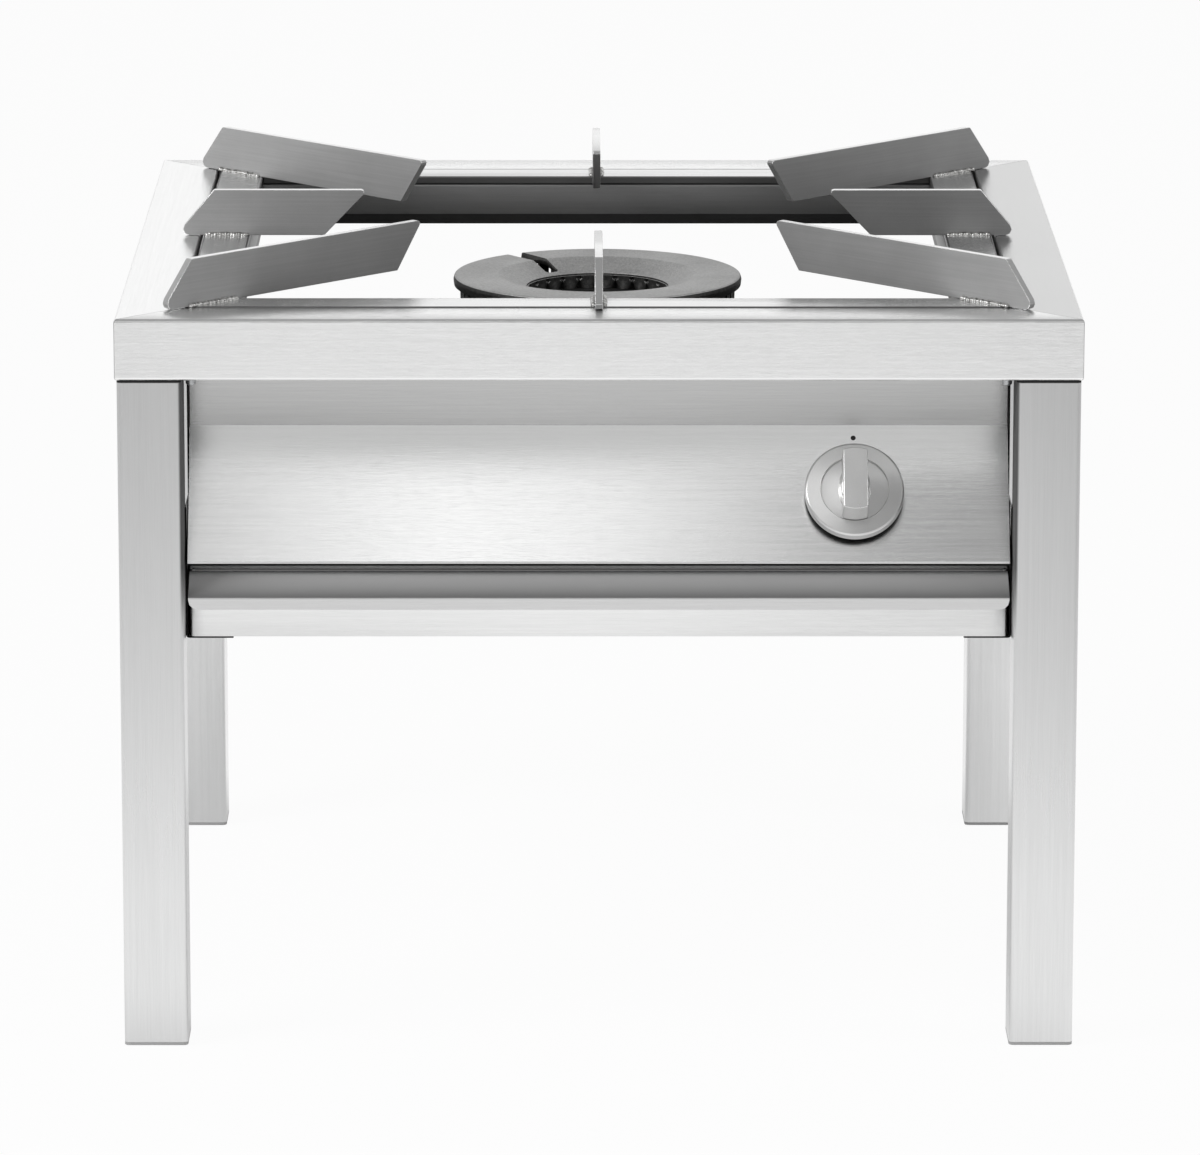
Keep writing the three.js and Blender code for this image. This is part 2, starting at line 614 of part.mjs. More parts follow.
for (const side of FRAME_SIDES) {
  const bar = piece(`grate_bar_${side.name}`, grateBar(side), BAR_STEEL);
  bar.position.set(side.x, side.y, 0);
  bar.rotation.z = side.turn;
  const middleFin = piece(`fin_${side.name}`, fin(MIDDLE_FIN), BAR_STEEL);
  const inset = at(0, BAR_MIDDLE).rotateAround(at(0, 0), side.turn);
  middleFin.position.set(side.x + inset.x, side.y + inset.y, GRATE_TOP);
  middleFin.rotation.z = side.turn - QUARTER;
}
for (const corner of CORNERS) {
  const cornerFin = piece(`fin_${corner.name}`, fin(CORNER_FIN), BAR_STEEL);
  cornerFin.position.set(
    corner.x * (WIDTH / 2 - BAR_MIDDLE), corner.y * (DEPTH / 2 - BAR_MIDDLE), GRATE_TOP);
  cornerFin.rotation.z = Math.atan2(corner.y, corner.x);
}

// ---- Side and rear sheets -----------------------------------------------------------------------
/** The right side sheet with its runner flange; the left one is its mirror image. */
function sideSheet(mirror) {
  const section = folded([
    at(SIDE_FACE - RUNNER_WIDTH, RUNNER_LEVEL), at(SIDE_FACE, RUNNER_LEVEL), at(SIDE_FACE, SIDE_TOP),
  ]);
  const sheet = alongY(mirror ? mirrored(section) : section, FRONT + SIDE_FRONT, REAR - SIDE_REAR);
  const beyond = SIDE_FACE + SHEET;
  const step = FRONT + SIDE_FRONT + SIDE_STEP_BACK;
  const railSpace = REAR - BOTTOM_RETURN - TOUCH;
  return cut(sheet,
    block(-beyond, beyond, FRONT, step, SIDE_STEP, SIDE_TOP + SHEET),
    block(-beyond, beyond, railSpace, REAR, FRAME_BOTTOM - TOUCH, SIDE_TOP + SHEET));
}

piece('side_sheet_left', sideSheet(true), BRUSHED);
piece('side_sheet_right', sideSheet(false), BRUSHED);

/** The rear sheet, with flanges turned to the rear at both sides and a hole for the gas inlet. */
function rearSheet() {
  const half = INSIDE - TOUCH;
  const plan = folded([
    at(half, REAR_FACE + REAR_FLANGE), at(half, REAR_FACE - SHEET),
    at(-half, REAR_FACE - SHEET), at(-half, REAR_FACE + REAR_FLANGE),
  ].reverse());
  const hole = shifted(circle(NIPPLE_RADIUS + TOUCH), KNOB_X, SUPPLY_LEVEL);
  return cut(
    alongZ(plan, RUNNER_TOP + TOUCH, REAR_TOP),
    alongY(hole, REAR_FACE - 2 * SHEET, REAR_FACE + SHEET));
}

piece('rear_sheet', rearSheet(), BRUSHED);

// ---- Drip tray ----------------------------------------------------------------------------------
function dripTray() {
  const front = FRONT + TRAY_FRONT;
  const rear = REAR_FACE - SHEET - TRAY_REAR_PLAY;
  const plan = (inset) => rounded(
    rectangle(-TRAY_X + inset, TRAY_X - inset, front + inset, rear - inset),
    Array(4).fill(TRAY_CORNER));
  const hemStart = TRAY_TOP - TRAY_HEM;
  const pan = cut(
    alongZ(plan(0), TRAY_BOTTOM, TRAY_TOP),
    alongZ(plan(TRAY_SHEET), TRAY_BOTTOM + TRAY_SHEET, hemStart),
    alongZ(plan(2 * TRAY_SHEET), hemStart - TRAY_SHEET, TRAY_TOP + TRAY_SHEET));
  const nose = front - LIP_REACH;
  const noseTop = TRAY_TOP - LIP_FALL;
  const lip = alongX(folded([
    at(front + TRAY_SHEET, hemStart), at(front + TRAY_SHEET, TRAY_TOP),
    at(nose, noseTop), at(nose, noseTop - LIP_DROP),
  ], TRAY_SHEET), -TRAY_X, TRAY_X);
  const roundedNose = alongY(
    rounded(rectangle(-TRAY_X, TRAY_X, noseTop - LIP_DROP, TRAY_TOP), [LIP_CORNER, LIP_CORNER, 0, 0]),
    nose, front + 2 * TRAY_SHEET);
  return join(pan, overlap(lip, roundedNose));
}

piece('drip_tray', dripTray(), BRUSHED);

// ---- Control panel ------------------------------------------------------------------------------
function controlPanel() {
  const foot = at(STRIP_Y - (PANEL_FOLD - PANEL_BOTTOM) * Math.tan(LEAN), PANEL_BOTTOM);
  const fold = at(STRIP_Y, PANEL_FOLD);
  const sheet = alongX(folded([
    at(STRIP_Y - PANEL_TOP_FLANGE, FLANGE_LEVEL), at(STRIP_Y, FLANGE_LEVEL),
    fold, foot, at(foot.x + PANEL_BOTTOM_FLANGE, foot.y),
  ]), -PANEL_X, PANEL_X);
  const inward = at(Math.cos(LEAN), -Math.sin(LEAN)).multiplyScalar(PANEL_SIDE_FLANGE);
  const relief = toward(foot, fold).multiplyScalar(2 * (SHEET + BEND));
  const [low, high] = [foot.clone().add(relief), fold.clone().sub(relief)];
  const lowInside = low.clone().add(inward).addScaledVector(relief, 2); // clear of the bottom flange
  const slantFlange = [low, high, high.clone().add(inward), lowInside];
  const stripFlange = rectangle(
    STRIP_Y, STRIP_Y + PANEL_SIDE_FLANGE, PANEL_FOLD + relief.y, FLANGE_LEVEL - relief.y);
  const flanges = [slantFlange, stripFlange].flatMap((outline) => [
    alongX(outline, -PANEL_X, -PANEL_X + SHEET), alongX(outline, PANEL_X - SHEET, PANEL_X)]);
  const neckHole = alongZ(circle(BUSH_RADIUS + TOUCH), -2 * SHEET, SHEET).applyMatrix4(slant.matrix);
  const screwHoles = [-1, 1].map((end) => alongZ(
    shifted(circle(SCREW_RADIUS + TOUCH, PIPE_SIDES), end * SCREW_X, FRONT + SCREW_INSET),
    FLANGE_LEVEL - TOUCH, FLANGE_LEVEL + SHEET + TOUCH));
  return cut(join(sheet, ...flanges), neckHole, ...screwHoles);
}

/** A screw whose head hangs below the panel's top flange, with its head's underside at z = 0. */
function panelScrew() {
  const edge = SCREW_HEAD_RADIUS / 4;
  return turned([
    at(0, -SCREW_HEAD), at(SCREW_HEAD_RADIUS - edge, -SCREW_HEAD),
    at(SCREW_HEAD_RADIUS, edge - SCREW_HEAD), at(SCREW_HEAD_RADIUS, 0),
    at(SCREW_RADIUS, 0), at(SCREW_RADIUS, SCREW_LENGTH), at(0, SCREW_LENGTH),
  ], PIPE_SIDES);
}

piece('control_panel', controlPanel(), BRUSHED);
for (const [name, end] of [['left', -1], ['right', 1]]) {
  piece(`panel_screw_${name}`, panelScrew(), ZINC)
    .position.set(end * SCREW_X, FRONT + SCREW_INSET, FLANGE_LEVEL - TOUCH);
}

// ---- Cross rails --------------------------------------------------------------------------------
/** An inverted channel between the side sheets, with its own y = 0 in the middle of its top. */
function crossRail() {
  const half = CROSS_RAIL_WIDTH / 2;
  const bottom = CROSS_RAIL_TOP - CROSS_RAIL_HEIGHT;
  const section = folded([
    at(half, bottom), at(half, CROSS_RAIL_TOP), at(-half, CROSS_RAIL_TOP), at(-half, bottom),
  ], CROSS_RAIL_SHEET);
  const holes = [-EAR_X, EAR_X].map((x) => alongZ(
    shifted(circle(BOLT_RADIUS + TOUCH, PIPE_SIDES), x, 0),
    CROSS_RAIL_TOP - 2 * CROSS_RAIL_SHEET, CROSS_RAIL_TOP + CROSS_RAIL_SHEET));
  return cut(alongX(section, TOUCH - INSIDE, INSIDE - TOUCH), ...holes);
}

piece('cross_rail_front', crossRail(), ZINC).position.y = -CROSS_RAIL_Y;
piece('cross_rail_rear', crossRail(), ZINC).position.y = CROSS_RAIL_Y;

// ---- Burner -------------------------------------------------------------------------------------
/** A ring of cutters, each made by `make` for the outside and turned to its place. */
const around = (count, phase, make) => Array.from({ length: count }, (_, k) =>
  make().rotateZ((2 * Math.PI * (k + phase)) / count));

/** The cap: dished ring with a toothed skirt outside and a pierced, notched one inside. */
function burnerCap() {
  const edge = CAP_RIM / 4;
  const rimBottom = BURNER_TOP - CAP_RIM;
  const skirtOut = BOWL_RADIUS;
  const skirtIn = CAP_EYE + CAP_SKIRT_WALL;
  const body = turned([
    at(CAP_EYE, INNER_SKIRT_BOTTOM), at(skirtIn, INNER_SKIRT_BOTTOM),
    at(skirtIn, CAP_EYE_TOP - CAP_WALL / 2), at(CAP_FLAT, BURNER_TOP - CAP_WALL),
    at(skirtOut - CAP_SKIRT_WALL, BURNER_TOP - CAP_WALL),
    at(skirtOut - CAP_SKIRT_WALL, OUTER_SKIRT_BOTTOM), at(skirtOut, OUTER_SKIRT_BOTTOM),
    at(skirtOut, rimBottom), at(CAP_RADIUS, rimBottom), at(CAP_RADIUS, BURNER_TOP - edge),
    at(CAP_RADIUS - edge, BURNER_TOP), at(CAP_FLAT, BURNER_TOP), at(CAP_EYE, CAP_EYE_TOP),
  ], CAP_SIDES);
  const slot = block(
    CAP_EYE + CAP_BRIDGE, CAP_RADIUS + CAP_RIM, -CAP_SLOT_WIDTH / 2, CAP_SLOT_WIDTH / 2,
    OUTER_SKIRT_BOTTOM - CAP_RIM, BURNER_TOP + CAP_RIM).rotateZ(PILOT_ANGLE);
  const outerPorts = around(OUTER_PORTS, 0.5, () => block(
    skirtOut - 2 * CAP_SKIRT_WALL, skirtOut + TOUCH, -OUTER_PORT_WIDTH / 2, OUTER_PORT_WIDTH / 2,
    OUTER_SKIRT_BOTTOM - TOUCH, rimBottom - TOUCH));
  const innerPorts = around(INNER_PORTS, 0, () => alongX(
    shifted(circle(INNER_PORT_RADIUS, INNER_PORT_SIDES), 0, CAP_EYE_TOP - 2 * INNER_PORT_RADIUS),
    CAP_EYE - CAP_SKIRT_WALL / 2, skirtIn + CAP_SKIRT_WALL / 2));
  const notches = around(INNER_PORTS, 0.5, () => alongX([
    at(-INNER_NOTCH_WIDTH / 2, INNER_SKIRT_BOTTOM - TOUCH),
    at(INNER_NOTCH_WIDTH / 2, INNER_SKIRT_BOTTOM - TOUCH),
    at(0, INNER_SKIRT_BOTTOM + INNER_NOTCH_HEIGHT),
  ], CAP_EYE - CAP_SKIRT_WALL / 2, skirtIn + CAP_SKIRT_WALL / 2));
  return cut(body, slot, ...outerPorts, ...innerPorts, ...notches);
}

/** A quarter of an ellipse from straight below its centre to straight beside it. */
const quarterCurve = (centreX, centreZ, radiusX, radiusZ, steps) =>
  Array.from({ length: steps + 1 }, (_, k) => {
    const angle = (QUARTER * k) / steps;
    return at(centreX + radiusX * Math.sin(angle), centreZ - radiusZ * Math.cos(angle));
  });

/** The ring-shaped trough that holds the gas below the cap. */
function bowl() {
  const outerTop = OUTER_SKIRT_BOTTOM - TOUCH;
  const innerTop = INNER_SKIRT_BOTTOM - TOUCH;
  const bend = BOWL_RADIUS - BOWL_FLOOR_RADIUS;
  const rise = Math.min(bend, outerTop - BOWL_BOTTOM - BOWL_WALL);
  const outside = quarterCurve(BOWL_FLOOR_RADIUS, BOWL_BOTTOM + rise, bend, rise, 4);
  const inside = quarterCurve(
    BOWL_FLOOR_RADIUS, BOWL_BOTTOM + rise, bend - BOWL_WALL, rise - BOWL_WALL, 3);
  const innerWall = CAP_EYE + CAP_SKIRT_WALL;
  return turned([
    at(BOWL_EYE, BOWL_BOTTOM), ...outside, at(BOWL_RADIUS, outerTop),
    at(BOWL_RADIUS - BOWL_WALL, outerTop), ...inside.reverse(),
    at(innerWall, BOWL_BOTTOM + BOWL_WALL), at(innerWall, innerTop), at(BOWL_EYE, innerTop),
  ], BOWL_SIDES);
}

/** The mixing tube in front of the bowl, closed by the mouth plate that carries the injector. */
function mixingTube() {
  const [root, mouth] = [BOWL_RADIUS - BOWL_WALL, -MOUTH_FRONT];
  const throat = (root + mouth) / 2;
  const flare = mouth - MOUTH_LENGTH;
  return turnedForward([
    at(TUBE_BORE, root), at(TUBE_RADIUS, root), at(TUBE_THROAT + TUBE_WALL, throat),
    at(MOUTH_RADIUS, flare), at(MOUTH_RADIUS, mouth),
    at(INJECTOR_RADIUS + TOUCH, mouth), at(INJECTOR_RADIUS + TOUCH, mouth - MOUTH_PLATE),
    at(MOUTH_RADIUS - TUBE_WALL, mouth - MOUTH_PLATE), at(MOUTH_RADIUS - TUBE_WALL, flare),
    at(TUBE_THROAT, throat),
  ]).translate(0, 0, TUBE_AXIS);
}

/** Four bolting ears level with the bowl's floor. */
function ears() {
  const half = EAR_WIDTH / 2;
  const outline = rounded(
    rectangle(BOWL_FLOOR_RADIUS / 2, EAR_X + half, CROSS_RAIL_Y - half, CROSS_RAIL_Y + half),
    [0, half / 2, half / 2, 0]);
  return CORNERS.map(({ x, y }) => alongZ(
    outline.map((point) => at(x * point.x, y * point.y)), BOWL_BOTTOM, BOWL_BOTTOM + BOWL_WALL));
}

/** The air holes, in one ring, through a plate between two distances in front of the middle. */
const airHoles = (front, rear) => Array.from({ length: AIR_HOLES }, (_, k) => {
  const centre = at(AIR_HOLE_CIRCLE, 0).rotateAround(at(0, 0), QUARTER / 2 + QUARTER * k);
  return alongY(
    shifted(circle(AIR_HOLE_RADIUS, AIR_HOLE_SIDES), centre.x, TUBE_AXIS + centre.y), front, rear);
});

function burnerBody() {
  const bore = turnedForward([
    at(0, BOWL_RADIUS - 3 * BOWL_WALL), at(TUBE_BORE, BOWL_RADIUS - 3 * BOWL_WALL),
    at(TUBE_BORE, BOWL_RADIUS), at(0, BOWL_RADIUS),
  ]).translate(0, 0, TUBE_AXIS);
  const boltHoles = CORNERS.map(({ x, y }) => alongZ(
    shifted(circle(BOLT_RADIUS + TOUCH, PIPE_SIDES), x * EAR_X, y * CROSS_RAIL_Y),
    BOWL_BOTTOM - TOUCH, BOWL_BOTTOM + BOWL_WALL + TOUCH));
  return cut(join(bowl(), mixingTube(), ...ears()),
    bore, ...boltHoles, ...airHoles(MOUTH_FRONT - TOUCH, MOUTH_FRONT + MOUTH_PLATE + TOUCH));
}

/** A bolt with its head's underside at z = 0. */
const earBolt = () => join(
  alongZ(hexagon(BOLT_HEAD_SIZE), 0, BOLT_HEAD),
  alongZ(circle(BOLT_RADIUS, PIPE_SIDES), -BOLT_LENGTH, BOLT_HEAD / 2));

piece('burner_cap', burnerCap(), CAST_IRON);
piece('burner_body', burnerBody(), DARK_IRON);
for (const corner of CORNERS) {
  piece(`burner_bolt_${corner.name}`, earBolt(), ZINC)
    .position.set(corner.x * EAR_X, corner.y * CROSS_RAIL_Y, BOWL_BOTTOM + BOWL_WALL + TOUCH);
}

// ---- Air shutter, injector and elbow ------------------------------------------------------------
function airShutter() {
  const disc = shifted(circle(MOUTH_RADIUS), 0, TUBE_AXIS);
  const tab = rectangle(
    -SHUTTER_TAB_WIDTH / 2, SHUTTER_TAB_WIDTH / 2, TUBE_AXIS + INJECTOR_RADIUS + TOUCH,
    TUBE_AXIS + MOUTH_RADIUS + SHUTTER_TAB);
  const [front, rear] = [SHUTTER_FRONT, SHUTTER_FRONT + SHUTTER_THICK];
  const bore = shifted(circle(INJECTOR_RADIUS + TOUCH), 0, TUBE_AXIS);
  return cut(join(alongY(disc, front, rear), alongY(tab, front, rear)),
    alongY(bore, front - TOUCH, rear + TOUCH), ...airHoles(front - TOUCH, rear + TOUCH));
}

function injector() {
  const nose = MOUTH_FRONT + MOUTH_PLATE + INJECTOR_NOSE;
  const shank = turnedForward([
    at(0, -nose), at(INJECTOR_RADIUS / 2, -nose), at(INJECTOR_RADIUS, INJECTOR_NOSE / 2 - nose),
    at(INJECTOR_RADIUS, -HEX_REAR + TOUCH), at(0, -HEX_REAR + TOUCH),
  ]).translate(0, 0, TUBE_AXIS);
  const jet = shifted(circle(JET_RADIUS, PIPE_SIDES), 0, TUBE_AXIS);
  return cut(
    join(shank, alongY(shifted(hexagon(INJECTOR_HEX), 0, TUBE_AXIS), HEX_FRONT, HEX_REAR)),
    alongY(jet, HEX_FRONT - TOUCH, nose + TOUCH));
}

/** The elbow: a block with the feed pipe's nut below it, bored from the nut to the injector. */
function injectorElbow() {
  const half = ELBOW / 2;
  const nutBottom = TUBE_AXIS - half - ELBOW_NUT_LENGTH;
  const body = join(
    block(-half, half, ELBOW_Y - half, ELBOW_Y + half, TUBE_AXIS - half, TUBE_AXIS + half),
    alongZ(shifted(hexagon(ELBOW_NUT), 0, ELBOW_Y), nutBottom, TUBE_AXIS - half / 2));
  return cut(body,
    alongZ(shifted(circle(FEED_BORE, PIPE_SIDES), 0, ELBOW_Y), nutBottom - TOUCH, TUBE_AXIS),
    alongY(shifted(circle(FEED_BORE, PIPE_SIDES), 0, TUBE_AXIS), ELBOW_Y, ELBOW_Y + ELBOW));
}

piece('air_shutter', airShutter(), ZINC);
piece('injector', injector(), BRASS);
piece('injector_elbow', injectorElbow(), BRASS);

// ---- Gas valve ----------------------------------------------------------------------------------
/** A cylinder across the valve: from the axis out along +X turned by `angle`, at a depth. */
const sidePort = (radius, from, to, depth, angle) =>
  alongX(circle(radius, PIPE_SIDES), from, to).rotateZ(angle).translate(0, 0, -depth);

function valveBody() {
  const half = VALVE_WIDTH / 2;
  const end = half + FITTING;
  const body = join(
    alongZ(square(VALVE_WIDTH, BEND), -VALVE_DEPTH, -SHEET - TOUCH),
    alongZ(circle(BUSH_RADIUS), -2 * SHEET, BUSH_LENGTH),
    sidePort(INLET_FITTING_RADIUS, half - SHEET, end, INLET_DEPTH, QUARTER),
    sidePort(OUTLET_FITTING_RADIUS, half - SHEET, end, OUTLET_DEPTH, 2 * QUARTER),
    sidePort(PILOT_FITTING_RADIUS, half - SHEET, half + PILOT_FITTING, PILOT_PORT_DEPTH, 2 * QUARTER));
  return cut(body,
    alongZ(circle(SPINDLE_RADIUS + TOUCH), -PLUG_FRONT, BUSH_LENGTH + TOUCH),
    alongZ(circle(PLUG_RADIUS + TOUCH), -PLUG_REAR - TOUCH, TOUCH - PLUG_FRONT),
    sidePort(PORT_RADIUS, 0, end + TOUCH, INLET_DEPTH, QUARTER),
    sidePort(PORT_RADIUS, 0, end + TOUCH, OUTLET_DEPTH, 2 * QUARTER),
    sidePort(PORT_RADIUS / 2, 0, end + TOUCH, PILOT_PORT_DEPTH, 2 * QUARTER),
    sidePort(PORT_RADIUS, 0, half + TOUCH, MAGNET_DEPTH, 0));
}

/** The turning plug: the spindle's socket in front, and behind it the gas way, which meets the
 * body's outlet after a quarter turn. */
const valvePlug = () => cut(
  alongZ(circle(PLUG_RADIUS), -PLUG_REAR, -PLUG_FRONT),
  alongZ(circle(SPINDLE_RADIUS + TOUCH), -PLUG_FRONT - PLUG_SOCKET, TOUCH - PLUG_FRONT),
  alongZ(circle(PORT_RADIUS, PIPE_SIDES), -PLUG_REAR - TOUCH, PLUG_SOCKET / 2 - OUTLET_DEPTH),
  sidePort(PORT_RADIUS - TOUCH, 0, PLUG_RADIUS + TOUCH, OUTLET_DEPTH, QUARTER));

const valveSpindle = () => cut(
  alongZ(circle(SPINDLE_RADIUS), -SPINDLE_REAR, SPINDLE_FRONT),
  block(-SPINDLE_RADIUS, SPINDLE_RADIUS, SPINDLE_RADIUS - SPINDLE_FLAT, SPINDLE_RADIUS + TOUCH,
    BUSH_LENGTH + PUSH, SPINDLE_FRONT + TOUCH));

const valveNut = () =>
  alongZ(hexagon(NUT_SIZE), TOUCH, TOUCH + NUT_THICK, [circle(BUSH_RADIUS + TOUCH)]);

const magnetUnit = () => {
  const start = VALVE_WIDTH / 2 + TOUCH;
  const end = start + MAGNET_LENGTH;
  return join(
    sidePort(MAGNET_RADIUS, start, end, MAGNET_DEPTH, 0),
    alongX(hexagon(MAGNET_RADIUS), end - TOUCH, end + MAGNET_NUT - TOUCH).translate(0, 0, -MAGNET_DEPTH));
};

piece('valve_body', valveBody(), BRASS, slant);
piece('valve_plug', valvePlug(), BRASS, slant);
piece('valve_spindle', valveSpindle(), ZINC, slant);
piece('valve_nut', valveNut(), BRASS, slant);
piece('magnet_unit', magnetUnit(), ZINC, slant);

// ---- Knob ---------------------------------------------------------------------------------------
/** A lens between two arcs that meet on the Y axis, from its half length and half width. */
function lens(halfLength, halfWidth, steps = 8) {
  const radius = (halfLength ** 2 + halfWidth ** 2) / (2 * halfWidth);
  const sweep = Math.asin(halfLength / radius);
  const arc = (side) => Array.from({ length: steps }, (_, k) => {
    const angle = sweep * ((2 * k) / steps - 1);
    return at(side * (radius * Math.cos(angle) - radius + halfWidth), side * radius * Math.sin(angle));
  });
  return [...arc(1), ...arc(-1)];
}

/** The grip's outline: a bar with ends that follow the dish. */
function gripOutline(width, endRadius, steps = 4) {
  const sweep = Math.asin(width / 2 / endRadius);
  const end = (side) => Array.from({ length: steps + 1 }, (_, k) =>
    at(0, side * endRadius).rotateAround(at(0, 0), sweep * ((2 * k) / steps - 1)));
  return [...end(1), ...end(-1)];
}

/** An outline extruded upwards whose top is narrower across and shorter along. */
function tapered(outline, low, high, across, along) {
  const solid = alongZ(outline, low, high);
  const points = solid.attributes.position;
  for (let i = 0; i < points.count; i++) {
    if (points.getZ(i) > low) points.setXY(i, points.getX(i) * across, points.getY(i) * along);
  }
  return solid;
}

function knob() {
  const ring = KNOB_GAP + KNOB_SKIRT;
  const floor = ring - KNOB_DISH - KNOB_WALL;
  const dish = (share) => at(KNOB_DISH_RADIUS * share, ring - KNOB_DISH * (1 - share ** 4));
  const body = turned([
    at(0, KNOB_GAP), at(KNOB_RADIUS - KNOB_EDGE, KNOB_GAP), at(KNOB_RADIUS, KNOB_GAP + KNOB_EDGE),
    at(KNOB_RADIUS, ring - KNOB_EDGE), at(KNOB_RADIUS - KNOB_EDGE, ring),
    dish(1), dish(0.92), dish(0.75), dish(0),
  ], KNOB_SIDES);
  const grip = tapered(gripOutline(GRIP_WIDTH, KNOB_DISH_RADIUS),
    floor, ring + GRIP_HEIGHT, GRIP_TAPER, GRIP_TAPER);
  const cheek = tapered(lens(KNOB_DISH_RADIUS - KNOB_EDGE, GRIP_CHEEK),
    floor, ring + GRIP_CHEEK_HEIGHT, GRIP_CHEEK_TAPER, GRIP_TAPER);
  const well = alongZ(circle(KNOB_RADIUS - KNOB_WALL), KNOB_GAP - TOUCH, floor - TOUCH);
  const bore = alongZ(circle(SPINDLE_RADIUS + TOUCH), KNOB_GAP - TOUCH, SPINDLE_FRONT + TOUCH);
  return cut(join(body, grip, cheek), well, bore);
}

piece('knob', knob(), SATIN_SILVER, slant);

// ---- Pipes, inlet and clip ----------------------------------------------------------------------
function feedPipe() {
  const elbowInlet = TUBE_AXIS - ELBOW / 2 - ELBOW_NUT_LENGTH - TOUCH;
  return pipe([
    new THREE.Vector3(OUTLET_PORT.x - TOUCH, ELBOW_Y, OUTLET_PORT.z),
    new THREE.Vector3(0, ELBOW_Y, OUTLET_PORT.z),
    new THREE.Vector3(0, ELBOW_Y, elbowInlet),
  ], FEED_BEND, FEED_RADIUS, FEED_BORE);
}

function supplyPipe() {
  const upSlant = new THREE.Vector3(0, Math.sin(LEAN), Math.cos(LEAN));
  const start = INLET_PORT.clone().addScaledVector(upSlant, TOUCH);
  const corner = start.clone().addScaledVector(upSlant, (SUPPLY_LEVEL - start.z) / upSlant.z);
  const nippleTail = REAR_FACE - SHEET - NIPPLE_TAIL;
  return pipe([start, corner, new THREE.Vector3(KNOB_X, nippleTail - TOUCH, SUPPLY_LEVEL)],
    SUPPLY_BEND, SUPPLY_RADIUS, SUPPLY_BORE);
}

/** The inlet nipple: tail inside, hexagon against the rear sheet, thread to the rear. */
function gasInlet() {
  const bore = circle(NIPPLE_BORE, PIPE_SIDES);
  const place = (outline) => shifted(outline, KNOB_X, SUPPLY_LEVEL);
  const hexFront = REAR_FACE + TOUCH;
  const thread = alongY(place(circle(NIPPLE_RADIUS)), REAR_FACE - SHEET - NIPPLE_TAIL, REAR - NIPPLE_END);
  const hex = alongY(place(hexagon(NIPPLE_HEX)), hexFront, hexFront + NIPPLE_HEX_LENGTH);
  return cut(join(thread, hex), alongY(place(bore), 0, REAR));
}

function inletNut() {
  const rear = REAR_FACE - SHEET - TOUCH;
  return alongY(shifted(hexagon(INLET_NUT), KNOB_X, SUPPLY_LEVEL), rear - INLET_NUT_LENGTH, rear,
    [shifted(circle(NIPPLE_RADIUS + TOUCH), KNOB_X, SUPPLY_LEVEL)]);
}

/** The clip round the supply pipe, with its tab on the front cross rail's face. */
function pipeClip() {
  const rear = -CROSS_RAIL_FACE - TOUCH;
  const outer = SUPPLY_RADIUS + TOUCH + CLIP_BAND;
  const band = alongY(
    shifted(circle(outer, CLIP_SIDES), KNOB_X, SUPPLY_LEVEL), rear - CLIP_WIDTH, rear);
  const tab = alongY(rectangle(
    KNOB_X - CLIP_WIDTH / 2, KNOB_X + CLIP_WIDTH / 2, SUPPLY_LEVEL, SUPPLY_LEVEL + outer + CLIP_TAB),
  rear - CLIP_BAND, rear);
  const bore = shifted(circle(SUPPLY_RADIUS + TOUCH, CLIP_SIDES), KNOB_X, SUPPLY_LEVEL);
  return cut(join(band, tab), alongY(bore, rear - CLIP_WIDTH - TOUCH, rear + TOUCH));
}

piece('feed_pipe', feedPipe(), COPPER);
piece('supply_pipe', supplyPipe(), ZINC);
piece('gas_inlet', gasInlet(), BRASS);
piece('inlet_nut', inletNut(), BRASS);
piece('pipe_clip', pipeClip(), ZINC);

// ---- Pilot, thermocouple and bracket ------------------------------------------------------------
const SHELF_TOP = BRACKET_LEVEL + BRACKET_SHEET;

/** The bracket on the rear cross rail, with holes for the pilot and the thermocouple. */
function pilotBracket() {
  const face = CROSS_RAIL_FACE + TOUCH;
  const left = Math.min(PILOT_X, THERMO_X) - BRACKET_MARGIN;
  const right = Math.max(PILOT_X, THERMO_X) + BRACKET_MARGIN;
  const sheet = alongX(folded([
    at(face + BRACKET_SHELF, SHELF_TOP), at(face, SHELF_TOP), at(face, SHELF_TOP - BRACKET_DROP),
  ], BRACKET_SHEET), left, right);
  const hole = (radius, x, y) => alongZ(
    shifted(circle(radius + TOUCH, PIPE_SIDES), x, y), BRACKET_LEVEL - TOUCH, SHELF_TOP + TOUCH);
  return cut(sheet, hole(PILOT_BODY_RADIUS, PILOT_X, PILOT_Y), hole(THERMO_RADIUS, THERMO_X, THERMO_Y));
}

/** The pilot burner: nut below the shelf, collar on it, hood with a flame hole on top. */
function pilotBurner() {
  const nutTop = BRACKET_LEVEL - TOUCH;
  const collar = SHELF_TOP + TOUCH;
  const hoodFoot = PILOT_TOP - PILOT_HOOD;
  const tip = PILOT_HOOD_RADIUS / 2;
  const body = turned([
    at(0, nutTop), at(PILOT_BODY_RADIUS, nutTop), at(PILOT_BODY_RADIUS, collar),
    at(PILOT_HOOD_RADIUS, collar), at(PILOT_HOOD_RADIUS, collar + tip),
    at(PILOT_NECK_RADIUS, collar + tip), at(PILOT_NECK_RADIUS, hoodFoot),
    at(PILOT_HOOD_RADIUS, hoodFoot + tip), at(PILOT_HOOD_RADIUS, PILOT_TOP - tip),
    at(tip, PILOT_TOP), at(0, PILOT_TOP),
  ], PIPE_SIDES);
  const nut = alongZ(hexagon(2 * PILOT_HOOD_RADIUS), nutTop - PILOT_NUT, nutTop);
  const flameHole = alongZ(circle(PILOT_FLAME_RADIUS, THIN_SIDES), hoodFoot, PILOT_TOP + TOUCH);
  return cut(join(body, nut), flameHole).translate(PILOT_X, PILOT_Y, 0);
}

